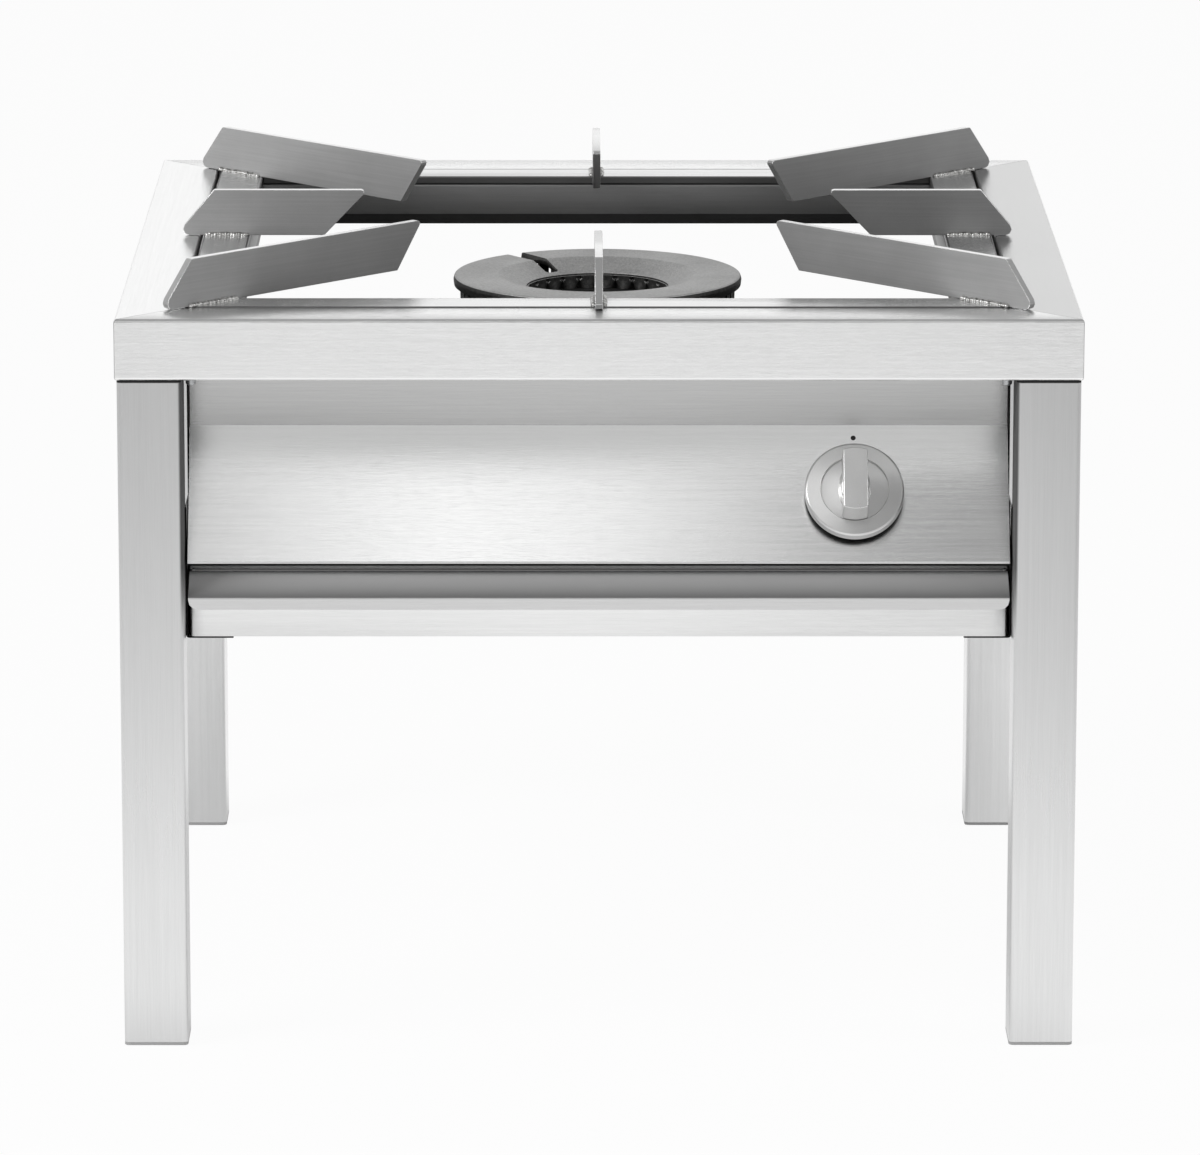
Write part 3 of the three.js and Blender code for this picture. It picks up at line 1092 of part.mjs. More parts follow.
/** The pilot's gas tube, from the valve under the cross rails to the pilot. */
function pilotTube() {
  const level = PILOT_TUBE_LEVEL;
  const lane = KNOB_X - VALVE_WIDTH - FITTING - THIN_BEND;
  return pipe([
    new THREE.Vector3(PILOT_PORT.x - TOUCH, PILOT_PORT.y, PILOT_PORT.z),
    new THREE.Vector3(lane, PILOT_PORT.y, PILOT_PORT.z),
    new THREE.Vector3(lane, -2 * CROSS_RAIL_Y, level),
    new THREE.Vector3(PILOT_X, 0, level),
    new THREE.Vector3(PILOT_X, PILOT_Y, level),
    new THREE.Vector3(PILOT_X, PILOT_Y, BRACKET_LEVEL - PILOT_NUT - 2 * TOUCH),
  ], THIN_BEND, PILOT_TUBE_RADIUS, 0, THIN_SIDES);
}

/** The thermocouple: probe beside the pilot's hood, and its lead to the magnet unit. */
function thermocouple() {
  const foot = BRACKET_LEVEL - THERMO_TAIL;
  const collar = SHELF_TOP + TOUCH;
  const probe = turned([
    at(0, foot), at(THERMO_RADIUS, foot), at(THERMO_RADIUS, collar), at(2 * THERMO_RADIUS, collar),
    at(2 * THERMO_RADIUS, collar + THERMO_RADIUS), at(THERMO_RADIUS, collar + THERMO_RADIUS),
    at(THERMO_RADIUS, THERMO_TOP - THERMO_RADIUS), at(THERMO_RADIUS / 2, THERMO_TOP), at(0, THERMO_TOP),
  ], PIPE_SIDES).translate(THERMO_X, THERMO_Y, 0);
  const lead = pipe([
    new THREE.Vector3(MAGNET_PORT.x + TOUCH, MAGNET_PORT.y, MAGNET_PORT.z),
    new THREE.Vector3(LEAD_SIDE, MAGNET_PORT.y, MAGNET_PORT.z),
    new THREE.Vector3(LEAD_SIDE, -2 * CROSS_RAIL_Y, LEAD_LEVEL),
    new THREE.Vector3(THERMO_X, CROSS_RAIL_Y / 2, LEAD_LEVEL),
    new THREE.Vector3(THERMO_X, THERMO_Y, LEAD_LEVEL),
    new THREE.Vector3(THERMO_X, THERMO_Y, foot + THERMO_RADIUS),
  ], THIN_BEND, LEAD_RADIUS, 0, THIN_SIDES);
  return join(probe, lead);
}

piece('pilot_bracket', pilotBracket(), ZINC);
piece('pilot_burner', pilotBurner(), BRASS);
piece('pilot_tube', pilotTube(), COPPER);
piece('thermocouple', thermocouple(), COPPER);

export default range;
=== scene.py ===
"""Looks of a free-standing stock pot range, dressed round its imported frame.

Lengths are in millimetres in the sub-assemblies and become metres where a mesh is made; those of a
finish are in metres. +X points to the right, +Y to the rear and +Z up, with the origin on the floor
below the middle.
"""

import json
import logging
import math
from dataclasses import dataclass, field
from enum import Enum
from typing import Callable, Mapping, Sequence

import bmesh
import bpy
from mathutils import Matrix, Vector

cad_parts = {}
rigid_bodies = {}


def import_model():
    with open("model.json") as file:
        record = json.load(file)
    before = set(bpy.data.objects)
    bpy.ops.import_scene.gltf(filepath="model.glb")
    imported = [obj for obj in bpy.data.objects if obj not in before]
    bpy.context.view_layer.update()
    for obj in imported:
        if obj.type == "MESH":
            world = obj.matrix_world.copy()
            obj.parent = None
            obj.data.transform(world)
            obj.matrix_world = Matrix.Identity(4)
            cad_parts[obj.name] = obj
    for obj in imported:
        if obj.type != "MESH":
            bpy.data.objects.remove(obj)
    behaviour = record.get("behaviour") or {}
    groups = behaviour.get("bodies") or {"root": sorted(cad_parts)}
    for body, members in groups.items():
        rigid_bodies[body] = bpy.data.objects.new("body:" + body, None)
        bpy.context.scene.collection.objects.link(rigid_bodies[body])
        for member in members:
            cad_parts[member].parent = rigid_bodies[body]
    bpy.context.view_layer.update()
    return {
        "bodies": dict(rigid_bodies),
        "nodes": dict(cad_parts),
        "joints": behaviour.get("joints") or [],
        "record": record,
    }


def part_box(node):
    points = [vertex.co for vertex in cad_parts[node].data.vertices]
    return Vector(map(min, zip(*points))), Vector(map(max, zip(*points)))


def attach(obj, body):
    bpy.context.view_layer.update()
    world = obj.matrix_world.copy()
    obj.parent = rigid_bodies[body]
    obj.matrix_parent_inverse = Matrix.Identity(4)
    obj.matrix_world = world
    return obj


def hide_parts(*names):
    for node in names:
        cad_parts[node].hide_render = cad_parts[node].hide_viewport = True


MM = 0.001
LOG = logging.getLogger("range")
Point = tuple[float, float, float]
Flat = tuple[float, float]
Tone = tuple[float, float, float]
Thing = bpy.types.Object
Mesh = bpy.types.Mesh
Material = bpy.types.Material
Socket = bpy.types.NodeSocket
Work = bmesh.types.BMesh
Ring = Sequence[bmesh.types.BMVert]
Test = Callable[[Vector, Vector], bool]

# Points closer than this are one, and faces that turn by less than this are one.
SAME_PLACE = 0.002 * MM
SAME_PLANE = math.radians(0.5)

# The least part of a face's normal along an axis: of a face square to it, of one that mostly looks
# along it, of one that looks along it more than aside, and of a slanted one.
FLAT = 0.9
MOSTLY = 0.7
HALFWAY = 0.5
SLANTED = 0.3


# ---- Node trees -------------------------------------------------------------------------------------
class Value:
    """A number socket that can be used in Python sums."""

    def __init__(self, tree: "Tree", socket: Socket) -> None:
        """Wraps a socket of a tree."""
        self.tree = tree
        self.socket = socket

    def _math(self, operation: str, *terms: "Value | float", clamp: bool = False) -> "Value":
        """Adds a Math node.

        Args:
            operation: the node's operation.
            terms: its values or links, in order.
            clamp: whether the result is kept from 0 to 1.

        Returns:
            The node's result.
        """
        settings = {"operation": operation, "use_clamp": clamp}
        made = self.tree.node("ShaderNodeMath", settings, dict(enumerate(terms)))
        return Value(self.tree, made.outputs[0])

    def __add__(self, other: "Value | float") -> "Value":
        """The sum."""
        return self._math("ADD", self, other)

    def __sub__(self, other: "Value | float") -> "Value":
        """The difference."""
        return self._math("SUBTRACT", self, other)

    def __rsub__(self, other: float) -> "Value":
        """The difference from a number."""
        return self._math("SUBTRACT", other, self)

    def __mul__(self, other: "Value | float") -> "Value":
        """The product."""
        return self._math("MULTIPLY", self, other)

    __radd__ = __add__
    __rmul__ = __mul__

    def clamped(self) -> "Value":
        """The same value, kept from 0 to 1."""
        return self._math("ADD", self, 0.0, clamp=True)

    def atleast(self, other: "Value | float") -> "Value":
        """The larger of the two."""
        return self._math("MAXIMUM", self, other)

    def distance(self, other: float) -> "Value":
        """How far the value is from a number."""
        return self._math("ABSOLUTE", self - other)

    def within(self, low: float, high: float) -> "Value":
        """How far the value is from low to high, from 0 to 1."""
        return ((self - low) * (1.0 / (high - low))).clamped()


class Tree:
    """A node tree with one method that adds any node."""

    def __init__(self, tree: bpy.types.NodeTree) -> None:
        """Starts on an emptied tree."""
        self.tree = tree
        tree.nodes.clear()

    def node(self, kind: str, settings: Mapping[str, object] | None = None,
             sockets: Mapping[object, object] | None = None) -> bpy.types.Node:
        """Adds a node.

        Args:
            kind: the node's type.
            settings: its properties, set first.
            sockets: the values or links of its inputs, by name or number.

        Returns:
            The new node.
        """
        made = self.tree.nodes.new(kind)
        for name, value in (settings or {}).items():
            setattr(made, name, value)
        for key, value in (sockets or {}).items():
            source = value.socket if isinstance(value, Value) else value
            if isinstance(source, Socket):
                self.tree.links.new(source, made.inputs[key])
            else:
                made.inputs[key].default_value = source
        return made

    def value(self, node: bpy.types.Node, output: object = 0) -> Value:
        """One output of a node as a value."""
        return Value(self, node.outputs[output])

    def axes(self, vector: Socket) -> list[Value]:
        """The three parts of a vector."""
        parts = self.node("ShaderNodeSeparateXYZ", {}, {0: vector})
        return [self.value(parts, number) for number in range(3)]


class Grain(Enum):
    """The direction of a brushed finish, as the stretch of its pattern along X, Y and Z."""

    ACROSS = (0.012, 1.0, 1.0)
    DEEP = (1.0, 0.012, 1.0)
    UPRIGHT = (1.0, 1.0, 0.012)


@dataclass(frozen=True)
class Layer:
    """One noise pattern of a finish."""

    scale: float  # how many features lie on a metre
    detail: float  # how many finer patterns it has
    finer: float  # how strong those are
    tint: float = 0.0  # its share of the mix of tones
    rough: float = 0.0  # its share of the roughness
    height: float = 0.0  # its share of the relief
    drawn: bool = False  # whether it is drawn out along the grain


class Surface(Tree):
    """A material's tree on Object coordinates, ending in one Principled shader."""

    def __init__(self, name: str) -> None:
        """Starts a material of that name."""
        self.material = bpy.data.materials.new(name)
        self.material.use_nodes = True
        super().__init__(self.material.node_tree)
        self.place = self.node("ShaderNodeTexCoord").outputs["Object"]

    def noise(self, layer: Layer, grain: Grain, turn: float) -> Value:
        """Adds a noise pattern.

        Args:
            layer: the pattern.
            grain: the direction in which it is drawn out, if it is.
            turn: a further turn of that direction about Z, in radians.

        Returns:
            The noise, about 0.3 to 0.7.
        """
        stretch = grain.value if layer.drawn else (1.0, 1.0, 1.0)
        mapped = self.node("ShaderNodeMapping", {"vector_type": "TEXTURE"}, {
            "Vector": self.place, "Rotation": (0.0, 0.0, turn if layer.drawn else 0.0),
            "Scale": tuple(1.0 / share for share in stretch)})
        made = self.node("ShaderNodeTexNoise", {"noise_dimensions": "3D"}, {
            "Vector": mapped.outputs[0], "Scale": layer.scale, "Detail": layer.detail,
            "Roughness": layer.finer})
        return self.value(made, "Fac")

    def mix(self, share: Value, low: "Socket | Sequence[float]", high: Sequence[float]) -> Socket:
        """Mixes two colours.

        Args:
            share: how much there is of the second, from 0 to 1.
            low: the first colour.
            high: the second.

        Returns:
            The mixed colour.
        """
        # The node's colours are its inputs 6 and 7 and its output 2.
        first = low if isinstance(low, Socket) else (*low, 1.0)
        made = self.node("ShaderNodeMix", {"data_type": "RGBA"}, {
            "Factor": share, 6: first, 7: (*high, 1.0)})
        return made.outputs[2]

    def bump(self, height: Value, depth: float) -> Socket:
        """A normal bent by a height from 0 to 1, as deep as given in metres."""
        made = self.node("ShaderNodeBump", {}, {"Height": height, "Distance": depth, "Strength": 1.0})
        return made.outputs["Normal"]

    def finish(self, sockets: Mapping[str, object]) -> Material:
        """Ends the tree in a Principled shader with these sockets and gives the material."""
        shader = self.node("ShaderNodeBsdfPrincipled", {}, sockets)
        self.node("ShaderNodeOutputMaterial", {}, {"Surface": shader.outputs[0]})
        return self.material


# ---- Finishes ---------------------------------------------------------------------------------------
@dataclass(frozen=True)
class Shade:
    """Painted shade on a leg: a dark line under the skirt, dark beside the panel and the tray, and darker
    towards its top.

    Each pair says where the dark begins and where it is full, in metres.
    """

    skirt: Flat = (0.4252, 0.4258)  # heights of the dark line under the skirt
    side: Flat = (0.2597, 0.2612)  # distances from the middle at which the leg's inner side ends
    beside: Flat = (0.258, 0.308)  # heights of the dark on that side
    beside_most: float = 0.85  # how dark it gets
    rise: Flat = (0.1, 0.45)  # heights over which the whole leg darkens
    rise_most: float = 0.2  # how dark it gets by that
    tone: Tone = (0.03, 0.03, 0.03)  # the colour of the dark
    dull: float = 0.8  # how far the gloss is lost there

    def share(self, surface: Surface) -> Value:
        """How dark a place of a surface is, from 0 to 1."""
        across, _, height = surface.axes(surface.place)
        inward = 1.0 - across.distance(0.0).within(*self.side)
        line = height.within(*self.skirt)
        beside = inward * height.within(*self.beside) * self.beside_most
        return line.atleast(beside).atleast(height.within(*self.rise) * self.rise_most)


@dataclass(frozen=True)
class PaintedRootLight(Shade):
    """Painted light on the tray's lip, which lightens it towards its root, from the first height to the
    second.
    """

    rise: Flat = (0.289, 0.3005)
    tone: Tone = (0.85, 0.85, 0.85)
    dull: float = 0.0

    def share(self, surface: Surface) -> Value:
        """How much painted light a place of a surface gets, from 0 to 1."""
        return surface.axes(surface.place)[2].within(*self.rise)


def mixed(patterns: Sequence[Value], weights: Sequence[float]) -> Value:
    """The sum of patterns, each with its weight.

    Args:
        patterns: the patterns.
        weights: a weight for each, where 0 leaves it out.

    Returns:
        The sum.
    """
    terms = [pattern * weight for pattern, weight in zip(patterns, weights) if weight]
    return sum(terms[1:], terms[0])


@dataclass(frozen=True)
class Finish:
    """A finish made of layers of noise."""

    name: str
    colour: Tone
    roughness: float = 0.5  # its mean roughness
    grain: Grain = Grain.ACROSS  # the direction in which some layers are drawn out
    turn: float = 0.0  # a further turn of that direction about Z, in radians
    metallic: float = 1.0  # how far it mirrors as bare metal does
    gloss: float = 0.5  # strength of the other mirroring, where 0.5 is usual
    spread: Flat = (0.95, 1.05)  # the darkest and the lightest tone, as shares of the colour
    light: Tone | None = None  # the lightest tone, where it isn't such a share
    band: Flat = (0.38, 0.62)  # the mix of layers at which it is darkest and at which it is lightest
    depth: float = 0.00001  # depth of its relief, in metres
    # painted shade, or painted light, that it mixes into its colour and gloss
    shade: Shade | None = None
    layers: tuple[Layer, ...] = ()

    def build(self) -> Material:
        """Builds the material."""
        surface = Surface(self.name)
        patterns = [surface.noise(layer, self.grain, self.turn) for layer in self.layers]
        low, high = ([min(1.0, part * share) for part in self.colour] for share in self.spread)
        share = mixed(patterns, [layer.tint for layer in self.layers]).within(*self.band)
        colour = surface.mix(share, low, self.light or high)
        rough = [layer.rough for layer in self.layers]
        roughness = mixed(patterns, rough) + (self.roughness - sum(rough) / 2)
        metallic = self.metallic
        if self.shade:
            # mixes in the painted shade, or the painted light of the lip
            dark = self.shade.share(surface)
            colour = surface.mix(dark, colour, self.shade.tone)
            roughness = roughness + dark * self.shade.dull
            metallic = self.metallic - dark * self.shade.dull
        relief = mixed(patterns, [layer.height for layer in self.layers])
        return surface.finish({
            "Base Color": colour, "Metallic": metallic, "Roughness": roughness.clamped(),
            "Specular IOR Level": self.gloss, "Normal": surface.bump(relief, self.depth)})


@dataclass(frozen=True)
class BrushedSteel(Finish):
    """Stainless sheet with straight brush lines, which smear reflections across themselves."""

    colour: Tone = (0.92, 0.922, 0.92)
    roughness: float = 0.2
    band: Flat = (0.36, 0.64)
    depth: float = 0.00008
    layers: tuple[Layer, ...] = (
        Layer(3600.0, 2.0, 0.6, tint=0.4, height=1.0, drawn=True),
        Layer(520.0, 3.0, 0.6, tint=0.45, rough=0.1, drawn=True),
        Layer(6.0, 3.0, 0.5, tint=0.15, rough=0.08))


@dataclass(frozen=True)
class DullSteel(BrushedSteel):
    """Brushed sheet that is less even in tone, as inside and on folded edges."""

    roughness: float = 0.4
    spread: Flat = (0.94, 1.06)


@dataclass(frozen=True)
class CleanSteel(BrushedSteel):
    """Brushed sheet that is more even in tone."""

    roughness: float = 0.3
    spread: Flat = (0.96, 1.04)


@dataclass(frozen=True)
class PlateSteel(Finish):
    """Flat bar and laser-cut plate: fine even grain with faint rolling marks."""

    roughness: float = 0.4
    spread: Flat = (0.9, 1.12)
    band: Flat = (0.36, 0.64)
    depth: float = 0.000014
    layers: tuple[Layer, ...] = (
        Layer(900.0, 2.0, 0.6, tint=0.35, height=0.5, drawn=True),
        Layer(2600.0, 2.0, 0.5, tint=0.25, rough=0.08, height=0.5),
        Layer(22.0, 3.0, 0.55, tint=0.4, rough=0.16))


@dataclass(frozen=True)
class CastIron(Finish):
    """Sand-cast iron: two sizes of grain, from the tone in its hollows to that on its tips."""

    metallic: float = 0.8
    spread: Flat = (1.0, 1.0)
    depth: float = 0.00012
    layers: tuple[Layer, ...] = (
        Layer(1500.0, 2.0, 0.6, tint=0.45, rough=0.2, height=0.5),
        Layer(520.0, 3.0, 0.6, tint=0.3, height=0.5),
        Layer(26.0, 3.0, 0.5, tint=0.25))


@dataclass(frozen=True)
class MetalPart(Finish):
    """Machined, plated or drawn metal of small parts, with stains."""

    spread: Flat = (0.8, 1.0)
    band: Flat = (0.38, 0.6)
    layers: tuple[Layer, ...] = (
        Layer(70.0, 4.0, 0.6, tint=0.7, rough=0.25, height=0.4),
        Layer(2200.0, 2.0, 0.5, tint=0.3, rough=0.06, height=0.6))


@dataclass(frozen=True)
class WeldBead(Finish):
    """Bare weld metal with straw and grey tints."""

    roughness: float = 0.31
    spread: Flat = (1.0, 1.0)
    light: Tone | None = (0.82, 0.815, 0.80)
    band: Flat = (0.4, 0.62)
    depth: float = 0.00006
    layers: tuple[Layer, ...] = (
        Layer(420.0, 3.0, 0.6, tint=1.0, rough=0.3, height=0.6),
        Layer(2600.0, 2.0, 0.5, height=0.4))


@dataclass(frozen=True)
class SatinLacquer(Finish):
    """Silver lacquer with a very fine flake, as on the knob."""

    roughness: float = 0.29
    metallic: float = 0.95
    depth: float = 0.000006
    layers: tuple[Layer, ...] = (
        Layer(4200.0, 1.0, 0.5, tint=0.7, height=1.0),
        Layer(60.0, 2.0, 0.5, tint=0.3, rough=0.08))


@dataclass(frozen=True)
class Moulded(Finish):
    """Moulded plastic or printed ink with a fine texture."""

    metallic: float = 0.0
    spread: Flat = (0.92, 1.06)
    band: Flat = (0.35, 0.65)
    depth: float = 0.00002
    layers: tuple[Layer, ...] = (Layer(1600.0, 2.0, 0.5, tint=1.0, rough=0.1, height=1.0),)


def grey(level: float) -> Tone:
    """An even grey."""
    return level, level, level


def steel(level: float) -> Tone:
    """The grey of bare steel."""
    return level, level + 0.002, level


class Finishes:
    """All materials of the range, built once and found by their names."""

    def __init__(self) -> None:
        """Builds every finish."""
        self.built: dict[str, Material] = {}
        for finish in (
                BrushedSteel("brushed_across"),
                BrushedSteel("brushed_deep", grain=Grain.DEEP),
                # painted shade: a darker tone on the right rail's top
                BrushedSteel("brushed_painted_shade", steel(0.54), grain=Grain.DEEP),
                BrushedSteel("brushed_panel", steel(0.86), depth=0.00004),
                # painted shade: the panel's upright strip is darker, as it lies under the rail
                BrushedSteel("brushed_strip_painted_shade", (0.5, 0.5, 0.498), 0.16, depth=0.00003),
                # painted shade: the dark hems below the rails' inner edges
                DullSteel("shade_across", grey(0.07)),
                # a duller mill finish on inner faces, also darker as painted shade
                DullSteel("mill_and_shade_across", grey(0.26)),
                DullSteel("mill_and_shade_deep", grey(0.26), grain=Grain.DEEP),
                CleanSteel("brushed_flange", steel(0.7)),
                # the lip: a dark tone as painted shade, lightened towards its root as painted light
                CleanSteel("lip_painted_shade_and_light", grey(0.2), 0.5, metallic=0.3, shade=PaintedRootLight()),
                CleanSteel("brushed_nose", grey(0.72)),
                # painted shade in the leg's corners and towards its top, through Shade
                CleanSteel("brushed_leg", (0.77, 0.772, 0.772), 0.24, Grain.UPRIGHT,
                           depth=0.00006, shade=Shade()),
                CleanSteel("brushed_tray", steel(0.84), 0.2, depth=0.00005),
                CleanSteel("brushed_tray_inside", grey(0.44), 0.36),
                PlateSteel("bar_steel", steel(0.84), 0.26),
                PlateSteel("bar_steel_deep", steel(0.84), 0.26, turn=math.pi / 2),
                # painted shade on the bars' sides, lower faces and broken edges
                PlateSteel("bar_edge_painted_shade", grey(0.2)),
                PlateSteel("fin_edge", steel(0.86), 0.24),
                WeldBead("weld_metal", (0.30, 0.298, 0.29)),
                CastIron("cast_iron_cap", (0.33, 0.33, 0.328), light=(0.6, 0.6, 0.595)),
                # the body's dark iron, also used as painted shade on the cap's lower and inner faces
                CastIron("cast_iron_body_and_shade", grey(0.03), light=(0.10, 0.099, 0.097), depth=0.0002),
                MetalPart("zinc_plate", (0.62, 0.63, 0.64), 0.355),
                MetalPart("brass", (0.72, 0.56, 0.26), 0.315, spread=(0.7, 1.0)),
                MetalPart("copper", (0.70, 0.40, 0.27), 0.335, spread=(0.65, 1.0)),
                SatinLacquer("satin_silver", (0.74, 0.74, 0.735)),
                # painted shade: black, nearly matt, on steel edges and gaps that lie in shadow
                Moulded("painted_gap_shade", grey(0.012), 0.9, gloss=0.05),
                Moulded("black_plastic", grey(0.02)),
                Moulded("foot_plastic", grey(0.5), 0.55),
                Moulded("black_ink", grey(0.012), 0.45)):
            self.add(finish)

    def add(self, finish: Finish) -> None:
        """Builds a finish and keeps its material."""
        self.built[finish.name] = finish.build()

    def __getitem__(self, name: str) -> Material:
        """The material of that name."""
        return self.built[name]


# ---- Mesh helpers -----------------------------------------------------------------------------------
CORNERS = ("front_left", "front_right", "rear_left", "rear_right")


def make_object(name: str, mesh: Mesh, *materials: Material) -> Thing:
    """Links a mesh as an object at the origin, with its materials."""
    for material in materials:
        mesh.materials.append(material)
    made = bpy.data.objects.new(name, mesh)
    bpy.context.scene.collection.objects.link(made)
    return made


def plain_mesh(bm: Work, name: str) -> Mesh:
    """Turns a bmesh into a mesh and frees it."""
    mesh = bpy.data.meshes.new(name)
    bm.to_mesh(mesh)
    bm.free()
    return mesh


def mesh_of(bm: Work, name: str, crease: float = 35.0) -> Mesh:
    """Turns a bmesh into a mesh that is smooth where it turns by less than the crease angle.

    Args:
        bm: the bmesh, which is freed.
        name: the mesh's name.
        crease: the angle, in degrees, above which an edge stays sharp.

    Returns:
        The new mesh.
    """
    mesh = plain_mesh(bm, name)
    mesh.polygons.foreach_set("use_smooth", [True] * len(mesh.polygons))
    mesh.set_sharp_from_angle(angle=math.radians(crease))
    return mesh


def bevel(target: Thing, width: float, segments: int = 2, angle: float = 40.0) -> bpy.types.Modifier:
    """Adds a bevel on an object's edges.

    Args:
        target: the object.
        width: the bevel's width, in millimetres.
        segments: how many steps it has.
        angle: by how many degrees an edge must turn to have it.

    Returns:
        The modifier.
    """
    made = target.modifiers.new("edges", "BEVEL")
    made.width = width * MM
    made.segments = segments
    made.limit_method = "ANGLE"
    made.angle_limit = math.radians(angle)
    made.use_clamp_overlap = True
    made.harden_normals = True
    return made


def bake_modifiers(target: Thing) -> None:
    """Replaces an object's mesh by its evaluated one and removes its modifiers."""
    graph = bpy.context.evaluated_depsgraph_get()
    mesh = bpy.data.meshes.new_from_object(target.evaluated_get(graph))
    target.modifiers.clear()
    target.data = mesh


def move(bm: Work, matrix: Matrix, start: int = 0) -> None:
    """Moves a bmesh, or what was added to it after its first points, by a matrix in metres."""
    bm.verts.ensure_lookup_table()
    bmesh.ops.transform(bm, matrix=matrix, verts=bm.verts[start:])


def join_rings(bm: Work, first: Ring, second: Ring) -> None:
    """Joins two closed rings of points by faces.

    Args:
        bm: the bmesh to add to.
        first: the lower or outer ring, which may be one point as often as the other has points.
        second: the other ring.
    """
    count = len(first)
    for k in range(count):
        after = (k + 1) % count
        bm.faces.new(list(dict.fromkeys((first[k], first[after], second[after], second[k]))))


def around(radius: float, angle: float) -> Flat:
    """The point of a circle at an angle in radians."""
    return radius * math.cos(angle), radius * math.sin(angle)


def bend(before: Sequence[float], at: Sequence[float], after: Sequence[float], radius: float,
         steps: int) -> list[Vector]:
    """The arc that rounds a corner.

    Args:
        before: the point before the corner.
        at: the corner.
        after: the point after it.
        radius: the arc's radius.
        steps: how many steps it has.

    Returns:
        Its points.
    """
    corner = Vector(at)
    into, out = (corner - Vector(before)).normalized(), (Vector(after) - corner).normalized()
    turn = into.angle(out)
    inward = (out - into * into.dot(out)).normalized()
    start = corner - into * radius * math.tan(turn / 2)
    arms = [(math.sin(turn * k / steps), 1 - math.cos(turn * k / steps)) for k in range(steps + 1)]
    return [start + into * radius * ahead + inward * radius * aside for ahead, aside in arms]


def sweep(bm: Work, route: Sequence[Vector], radius: float, sides: int = 16) -> None:
    """Adds a closed round rod.

    Args:
        bm: the bmesh to add to.
        route: the points of its middle line, in millimetres.
        radius: its radius.
        sides: how many faces go round.
    """
    tangents = [(b - a).normalized() for a, b in zip([route[0], *route[:-1]], [*route[1:], route[-1]])]
    side = tangents[0].orthogonal().normalized()
    rings = []
    for point, along in zip(route, tangents):
        side = (side - along * side.dot(along)).normalized()
        up = along.cross(side)
        arms = [around(radius, 2 * math.pi * k / sides) for k in range(sides)]
        rings.append([bm.verts.new((point + side * right + up * high) * MM) for right, high in arms])
    for low, high in zip(rings, rings[1:]):
        join_rings(bm, low, high)
    bm.faces.new(rings[0][::-1])
    bm.faces.new(rings[-1])


def turned(bm: Work, section: Sequence[Flat], sides: int,
           shape: Callable[[float, float, float], Point] | None = None) -> None:
    """Adds a ring-shaped or solid turned body about Z.

    Args:
        bm: the bmesh to add to.
        section: its outline as (radius, height) in millimetres, anticlockwise.
        sides: how many faces go round.
        shape: gives the place of a point from its angle, radius and height, where the body isn't round.
    """
    place = shape or (lambda angle, radius, height: (*around(radius, angle), height))
    rings = []
    for radius, height in section:
        if radius <= 0:
            rings.append([bm.verts.new((0, 0, height * MM))] * sides)
        else:
            rings.append([bm.verts.new(Vector(place(2 * math.pi * k / sides, radius, height)) * MM)
                          for k in range(sides)])
    for first, second in zip(rings, [*rings[1:], rings[0]]):
        if first[0] is not first[1] or second[0] is not second[1]:
            join_rings(bm, first, second)


def rounded_section(points: Sequence[tuple[float, float, float]], steps: int = 4) -> list[Flat]:
    """An outline from corners with a radius each.

    Args:
        points: each corner as (x, y, radius).
        steps: how many steps a rounded corner has.

    Returns:
        The outline.
    """
    result: list[Flat] = []
    for before, (x, y, radius), after in zip([points[-1], *points], points, [*points[1:], points[0]]):
        if radius > 0:
            result += [tuple(spot) for spot in bend(before[:2], (x, y), after[:2], radius, steps)]
        else:
            result.append((x, y))
    return result


def prism(bm: Work, outline: Sequence[Flat], low: float, high: float, across: float = 1.0,
          along: float = 1.0) -> None:
    """Adds an extruded outline.

    Args:
        bm: the bmesh to add to.
        outline: its foot, anticlockwise, in millimetres.
        low: the foot's height.
        high: the top's height.
        across: share of its width left at the top.
        along: share of its length left at the top.
    """
    base = [bm.verts.new(Vector((x, y, low)) * MM) for x, y in outline]
    roof = [bm.verts.new(Vector((x * across, y * along, high)) * MM) for x, y in outline]
    join_rings(bm, base, roof)
    bm.faces.new(base[::-1])
    bm.faces.new(roof)


# ---- The frame and what rides on it -----------------------------------------------------------------
@dataclass(frozen=True)
class Other:
    """A further material of a piece."""

    finish: str  # the material's name
    on: Test  # tells from a face's middle, in millimetres, and its normal whether the face has it
    edges: bool = False  # whether the broken edges have it too


def facing(inside: Callable[[Vector], Point]) -> Test:
    """Tells the faces that look towards a point inside.

    Args:
        inside: gives that point for a face's middle.

    Returns:
        The test of a face's middle and normal.
    """
    return lambda middle, normal: normal.dot(Vector(inside(middle)) - middle) > 0


def named(stem: str, *ends: str) -> list[str]:
    """The names of a stem with each end."""
    return [f"{stem}_{end}" for end in ends]


